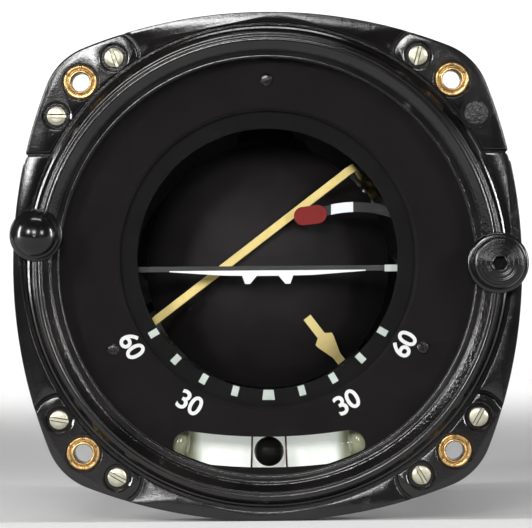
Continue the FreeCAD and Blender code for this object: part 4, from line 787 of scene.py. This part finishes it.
# %% Counterbores
screws = [(sx * x, sz * z) for sx, sz in corners for x, z in (SCREW, SCREW[::-1])]
BUSH_SQUARE = 88.0
bushes = [(sx * BUSH_SQUARE / 2, sz * BUSH_SQUARE / 2) for sx, sz in corners]
IN_FRONT = -20.0
bm = bmesh.new()
for centre in screws:
    lathe(bm, [(0.0, IN_FRONT), (3.6, IN_FRONT), (3.6, Y_LUG), (3.2, Y_LUG + 0.35),
               (3.0, Y_LUG + 1.3), (0.0, Y_LUG + 1.3)], centre, 40)
for centre in bushes:
    lathe(bm, [(0.0, IN_FRONT), (4.55, IN_FRONT), (4.55, Y_LUG), (4.2, Y_LUG + 0.3), (4.2, Y_LUG + 0.8),
               (3.45, Y_LUG + 0.8), (3.45, 1.0), (0.0, 1.0)], centre, 48)
drill(bm, (base_plate, lugs))

# %% [markdown]
# ## Brass bushes
# Each bush is a turned tube with a thin flange, a groove and an inner collar, and six small
# ring stakes lock the flange into the casting. The stakes take a dark finish, which is painted
# shade for their small dimples.

# %% Bushes and their stakes
BUSH_END, STAKE_RING = 1.5, 3.52
bm = bmesh.new()
for centre in bushes:
    lathe(bm, rounded([(2.2, BUSH_END, 0), (2.2, -10.0, 0.1), (2.4, -10.3, 0.12), (2.75, -10.25, 0.15),
                       (2.9, -9.7, 0.12), (3.1, -9.65, 0.08), (3.2, -9.95, 0.12), (3.8, -10.0, 0.2),
                       (4.0, -9.7, 0.12), (4.0, -9.22, 0), (3.4, -9.22, 0), (3.4, BUSH_END, 0)]),
          centre, 56)
bush_bodies = finish_piece(bm, "bush_bodies", "case", "old_brass", 50.0)
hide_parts("flange_bushes")
bm = bmesh.new()
for x, z in bushes:
    for k in range(6):
        a = math.radians(30 + 60 * k)
        lathe(bm, [(0.20, -10.02), (0.36, -10.03), (0.36, -9.8), (0.20, -9.8)],
              (x + STAKE_RING * math.cos(a), z + STAKE_RING * math.sin(a)), 14)
# Painted shade: the stake rings are dark so that they read as shaded dimples.
finish_piece(bm, "bush_stakes", "case", "slot_shadow")

# %% [markdown]
# ## Slotted screws
# The heads are turned and slightly domed. The slot's cutter carries a dark finish on its sides,
# painted shade that draws two dark lines along each slot, and a bright one on its floor. Each
# screw stands at its own angle, as someone's screwdriver left it.

# %% Screws
def slotted_heads(name, places, turns, profile, slot_half, slot_floor, finish):
    """Heads turned from a profile of (radius, y, rounding), each with a slot at its own angle."""
    front = min(y for r, y, size in profile)
    heads, slots = bmesh.new(), bmesh.new()
    lip, wide = front + slot_half, slot_half * 1.5
    section = [(-slot_half, slot_floor), (slot_half, slot_floor), (slot_half, lip), (wide, front - 0.05),
               (wide, front - 2.0), (-wide, front - 2.0), (-wide, front - 0.05), (-slot_half, lip)]
    for (x, z), turn in zip(places, turns):
        lathe(heads, rounded(profile), (x, z), 48)
        c, d = math.cos(math.radians(turn)), math.sin(math.radians(turn))
        ends = [[slots.verts.new(((x + e * c - w * d) * MM, y * MM, (z + e * d + w * c) * MM))
                 for w, y in section] for e in (-3.0, 3.0)]
        slots.faces.new(ends[0])
        slots.faces.new(ends[1][::-1])
        for k in range(8):
            m = (k + 1) % 8
            side = slots.faces.new((ends[0][k], ends[1][k], ends[1][m], ends[0][m]))
            # Painted shade: every face of the slot except its floor takes the dark finish.
            side.material_index = 0 if k == 0 else 1
    piece = finish_piece(heads, name, "case", finish, 50.0)
    drill(slots, (piece,), (finish, "slot_shadow"))
    return piece


screw_heads = slotted_heads(
    "screw_heads", screws, (-70, 0, 75, 40, -30, -10, -60, 60),
    [(0.0, -10.2, 0), (1.5, -10.17, 0.3), (2.25, -9.98, 0.15), (2.32, -8.72, 0), (0.0, -8.72, 0)],
    0.36, -9.35, "plated_screw")
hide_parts("bezel_screws")

# %% [markdown]
# ## Dial mask
# A thin matte black plate in front of the scale. Its round aperture stands a little above
# the roll axis and has a fine bevel, and a curved window below shows the slip tube. The
# window runs out to the bezel at its lower corners.

# %% The window's outline, bent along the tube
TUBE_Z, TUBE_Y, TUBE_ARC, TUBE_R = -44.15, 0.3, 125.0, 4.15


def slot_outline(end, half, reach):
    """Band along the tube's arc with round ends at x = -end and end, kept within reach of the axis."""
    side = math.asin((end - half) / TUBE_ARC)
    points = []
    for way, radius in ((1, TUBE_ARC + half), (-1, TUBE_ARC - half)):
        points += [(way * radius * math.sin(side * t / 20),
                    TUBE_Z + TUBE_ARC - radius * math.cos(side * t / 20)) for t in range(-20, 21)]
        middle = (way * TUBE_ARC * math.sin(side), TUBE_Z + TUBE_ARC * (1 - math.cos(side)))
        start = way * side - way * math.pi / 2
        points += [(middle[0] + half * math.cos(start + math.pi * t / 12),
                    middle[1] + half * math.sin(start + math.pi * t / 12)) for t in range(1, 12)]
    keep = [min(1.0, reach / math.hypot(x, z)) for x, z in points]
    return [(x * k, z * k) for (x, z), k in zip(points, keep)]


# %% Mask, tray and mask screws
APERTURE_R, APERTURE_UP, BEVEL = 35.2, 1.78, 0.75
MASK_R, MASK_BACK, MASK_SCREW_R, CUT_FRONT = 50.1, -4.4, 42.6, -9.0
WINDOW, TRAY, TRAY_FRONT, TRAY_BACK = (22.9, 3.65, 49.15), (23.9, 4.3, 49.4), 4.9, 5.5
bm = bmesh.new()
lathe(bm, [(0.0, Y_MASK), (MASK_R, Y_MASK), (MASK_R, MASK_BACK), (0.0, MASK_BACK)], steps=180)
mask = finish_piece(bm, "mask_plate", "case", "mask_paint")
bm = bmesh.new()
lathe(bm, [(0.0, CUT_FRONT), (APERTURE_R + BEVEL, CUT_FRONT), (APERTURE_R + BEVEL, Y_MASK),
           (APERTURE_R, Y_MASK + 0.55), (APERTURE_R, 0.0), (0.0, 0.0)], (0.0, APERTURE_UP), 180)
prism(bm, slot_outline(*WINDOW), CUT_FRONT, 0.0)
drill(bm, (mask,))
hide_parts("dial_mask")
bm = bmesh.new()
prism(bm, slot_outline(*TRAY), TRAY_FRONT, TRAY_BACK)
tray = finish_piece(bm, "tray_plate", "case", "tray_paint_painted_glow")
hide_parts("slip_tray")
mask_screws = [(MASK_SCREW_R * math.cos(math.radians(a)),
                APERTURE_UP + MASK_SCREW_R * math.sin(math.radians(a))) for a in (90, 210, 330)]
small_heads = slotted_heads(
    "mask_screw_heads", mask_screws, (20, 15, -55),
    [(0.0, -6.1, 0), (1.1, -6.05, 0.2), (1.5, -5.75, 0.2), (1.5, -5.38, 0), (0.0, -5.38, 0)],
    0.22, -5.7, "dark_screw")
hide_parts("mask_screws")

# %% [markdown]
# ## Caging button
# The cap is turned in shallow steps round a hexagon recess, and fine tool rings run over
# all of them, which gives its bow-tie highlight. It slides over a sleeve, so it is hollow.

# %% Button
CAP_FRONT, CAP_BACK, STEM_END, SLEEVE_ROOM = -22.8, -16.8, -5.4, 3.8
bm = bmesh.new()
lathe(bm, rounded([
    (0.0, CAP_FRONT + 0.05, 0), (2.1, CAP_FRONT + 0.05, 0.1), (2.25, CAP_FRONT + 0.3, 0.08),
    (3.3, CAP_FRONT + 0.38, 0.08), (3.4, CAP_FRONT + 0.62, 0.08), (4.35, CAP_FRONT + 0.72, 0.08),
    (4.45, CAP_FRONT + 1.0, 0.08), (5.1, CAP_FRONT + 1.15, 0.08), (5.2, CAP_FRONT + 1.5, 0.08),
    (5.75, CAP_FRONT + 1.75, 0.12), (6.1, CAP_FRONT + 2.4, 0.3), (6.1, CAP_BACK, 0.2), (4.36, CAP_BACK, 0),
    (4.36, CAP_BACK - SLEEVE_ROOM, 0), (1.4, CAP_BACK - SLEEVE_ROOM, 0), (1.4, STEM_END, 0),
    (0.0, STEM_END, 0)]), BUTTON, 96)
button = finish_piece(bm, "button_cap", "caging", "button_black", 40.0)
bm = bmesh.new()
lathe(bm, [(0.0, -30.0), (1.8, -30.0), (1.8, CAP_FRONT + 2.1), (0.0, CAP_FRONT + 2.1)], BUTTON, 6)
for face in bm.faces:
    face.material_index = 1
drill(bm, (button,), ("button_black", "scale_paint"))
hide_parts("cage_button")

# %% [markdown]
# ## Slip tube
# The bent glass tube shows as a clear front over the white tray. One skin of glass is
# enough, because the tray closes it behind. A drop of olive glass seals it at each end, just
# past the ball's last place.

# %% Tube
HALF_BEND, SEAL_BEND = math.radians(9.1), math.radians(10.0)
SEAL_HALF_SIZE, SEAL_BACK = (2.9, 3.7, 4.5), 0.9
bm = bmesh.new()
stations = []
for k in range(49):
    bend = -HALF_BEND + 2 * HALF_BEND * k / 48
    stations.append([])
    for j in range(17):
        a = math.radians(-100 + 200 * j / 16)
        reach = TUBE_ARC - TUBE_R * math.sin(a)
        stations[-1].append(bm.verts.new((reach * math.sin(bend) * MM, (TUBE_Y - TUBE_R * math.cos(a)) * MM,
                                          (TUBE_Z + TUBE_ARC - reach * math.cos(bend)) * MM)))
for left, right in zip(stations, stations[1:]):
    for j in range(16):
        bm.faces.new((left[j], right[j], right[j + 1], left[j + 1]))
tube = finish_piece(bm, "tube_skin", "case", "tube_glass")
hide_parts("slip_tube")
bm = bmesh.new()
for side in (-1, 1):
    bend = side * SEAL_BEND
    seal = bmesh.ops.create_uvsphere(bm, u_segments=40, v_segments=20, radius=1.0)["verts"]
    turn = Matrix.Rotation(-bend, 4, "Y")
    shape = Matrix.Diagonal([size * MM for size in SEAL_HALF_SIZE] + [1.0])
    spot = Matrix.Translation((TUBE_ARC * math.sin(bend) * MM, (TUBE_Y + SEAL_BACK) * MM,
                               (TUBE_Z + TUBE_ARC - TUBE_ARC * math.cos(bend)) * MM))
    bmesh.ops.transform(bm, verts=seal, matrix=spot @ turn @ shape)
finish_piece(bm, "tube_ends", "case", "seal_glass")

# %% [markdown]
# ## Roll pointer
# The arrow is painted metal laid on the dome. It reaches almost to the dome's rim, a little
# further out than the frame's own arrow, so a copy is turned outwards about the dome's centre.

# %% Roll pointer
DOME_Y, FURTHER_OUT = 49.0, math.radians(1.6)
bm = bmesh.new()
bm.from_mesh(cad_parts["roll_pointer"].data)
low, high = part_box("roll_pointer")
outwards = (low + high) * 0.5
turn = Matrix.Rotation(FURTHER_OUT, 4, Vector((-outwards.z, 0.0, outwards.x)).normalized())
to_centre = Matrix.Translation((0.0, DOME_Y * MM, 0.0))
bmesh.ops.transform(bm, matrix=to_centre @ turn @ to_centre.inverted(), verts=bm.verts[:])
pointer = finish_piece(bm, "pointer_arrow", "outer_gimbal", "pointer_paint_painted_light")
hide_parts("roll_pointer")

# %% [markdown]
# ## Numerals
# The bank angles are printed beside the thirty and sixty degree marks, with their tops
# towards the centre. A thick outline offset gives the rounded bold strokes.

# %% Numerals
NUMERAL_R, NUMERAL_H, CAPITAL_SHARE = 37.3, 4.7, 0.73
for label, angle in (("60", -60.0), ("30", -30.0), ("30", 30.0), ("60", 60.0)):
    curve = bpy.data.curves.new("numeral", "FONT")
    curve.body = label
    curve.align_x, curve.align_y = "CENTER", "CENTER"
    curve.size = NUMERAL_H / CAPITAL_SHARE * MM
    curve.offset = 0.12 * MM
    curve.extrude = 0.02 * MM
    curve.space_character = 0.95
    holder = add_object("numeral_text", curve)
    mesh = baked(holder)
    bpy.data.objects.remove(holder)
    a = math.radians(angle)
    xs = [v.co.x for v in mesh.vertices]
    ys = [v.co.y for v in mesh.vertices]
    middle = Matrix.Translation((-(min(xs) + max(xs)) / 2, -(min(ys) + max(ys)) / 2, 0.0))
    place = Matrix.Translation((NUMERAL_R * math.sin(a) * MM, (Y_MASK - 0.02) * MM,
                                -NUMERAL_R * math.cos(a) * MM))
    mesh.transform(place @ Matrix.Rotation(-a, 4, "Y") @ Matrix.Rotation(math.pi / 2, 4, "X") @ middle)
    mesh.materials.clear()
    mesh.materials.append(finishes["numeral_paint"])
    numeral = add_object("numeral_%s_%s" % (label, "left" if angle < 0 else "right"), mesh)
    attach(numeral, "case")
    print(numeral.name, "is", round((max(ys) - min(ys)) / MM, 2), "mm tall")

# %% [markdown]
# ## The studio
# The part lies on a pale floor that curves up into a low wall far behind it. Three soft
# lights in front light the dial. Narrow ones beside and above it draw the lines along the
# enamel's edges, and one behind it washes the wall.

# %% Floor and backdrop
FLOOR_Z, FLOOR_START, CURVE_START, CURVE_R = cad_low[2] / MM, -300.0, 1500.0, 300.0
WALL_TOP, HALF_WIDTH = 400.0, 2000.0
sweep = [(FLOOR_START, FLOOR_Z), (CURVE_START, FLOOR_Z)]
sweep += [(CURVE_START + CURVE_R * math.sin(a), FLOOR_Z + CURVE_R - CURVE_R * math.cos(a))
          for a in (math.pi / 2 * k / 16 for k in range(1, 17))]
sweep.append((CURVE_START + CURVE_R, WALL_TOP))
bm = bmesh.new()
rows = [[bm.verts.new((x * MM, y * MM, z * MM)) for y, z in sweep] for x in (-HALF_WIDTH, HALF_WIDTH)]
for k in range(len(sweep) - 1):
    bm.faces.new((rows[0][k], rows[0][k + 1], rows[1][k + 1], rows[1][k]))
for face in bm.faces:
    face.smooth = True
floor_mesh = bpy.data.meshes.new("floor")
bm.to_mesh(floor_mesh)
bm.free()
floor = add_object("floor", floor_mesh)
floor_paint = bpy.data.materials.new("floor_paint")
floor_paint.use_nodes = True
floor_shader = floor_paint.node_tree.nodes["Principled BSDF"]
floor_shader.inputs["Base Color"].default_value = (0.72, 0.72, 0.715, 1.0)
floor_shader.inputs["Roughness"].default_value = 0.8
floor_mesh.materials.append(floor_paint)


# %% Lights
def soft_light(name, place, size, power, aim=(0.0, 0.0, 0.0)):
    data = bpy.data.lights.new(name, "AREA")
    data.shape = "RECTANGLE"
    data.size, data.size_y = size[0] * MM, size[1] * MM
    data.energy = power
    light = add_object(name, data)
    light.location = Vector(place) * MM
    aim_at = Vector(aim) * MM - light.location
    light.rotation_euler = aim_at.to_track_quat("-Z", "Y").to_euler()


soft_light("front_fill", (-150, -1300, 340), (260, 260), 7.5)
soft_light("left_key", (-620, -930, 310), (200, 260), 6.5)
soft_light("right_key", (560, -960, 230), (160, 220), 3.8)
soft_light("left_edge", (-700, -100, 110), (90, 480), 6.5)
soft_light("right_edge", (700, -110, 90), (60, 400), 4.5)
soft_light("top_edge", (0, -120, 700), (420, 50), 1.5)
soft_light("wall_wash", (0, 1150, 750), (900, 200), 11.0, (0.0, 1800.0, 40.0))
world = bpy.data.worlds.new("room")
world.use_nodes = True
world.node_tree.nodes["Background"].inputs["Color"].default_value = (0.9, 0.93, 1.0, 1.0)
world.node_tree.nodes["Background"].inputs["Strength"].default_value = 0.03
bpy.context.scene.world = world

# %% [markdown]
# ## The camera
# The part is seen square on from far away, so a long lens stands well back. Its frame is
# 126 mm wide at the bezel's face, and it is turned by under half a degree.

# %% Camera
FRAME_W, DISTANCE, FACE_Y, SENSOR_W = 126.0, 1300.0, -10.0, 36.0
camera_data = bpy.data.cameras.new("camera")
camera_data.sensor_width = SENSOR_W
camera_data.lens = SENSOR_W * DISTANCE / FRAME_W
camera_data.clip_end = 10.0
camera_data.dof.use_dof = False
camera = add_object("camera", camera_data)
camera.location = (-0.38 * MM, (FACE_Y - DISTANCE) * MM, 0.57 * MM)
camera.rotation_euler = (math.radians(90.0), math.radians(0.45), 0.0)
bpy.context.scene.camera = camera
bpy.context.scene.view_settings.view_transform = "Standard"
print("lens", round(camera_data.lens, 1), "mm")
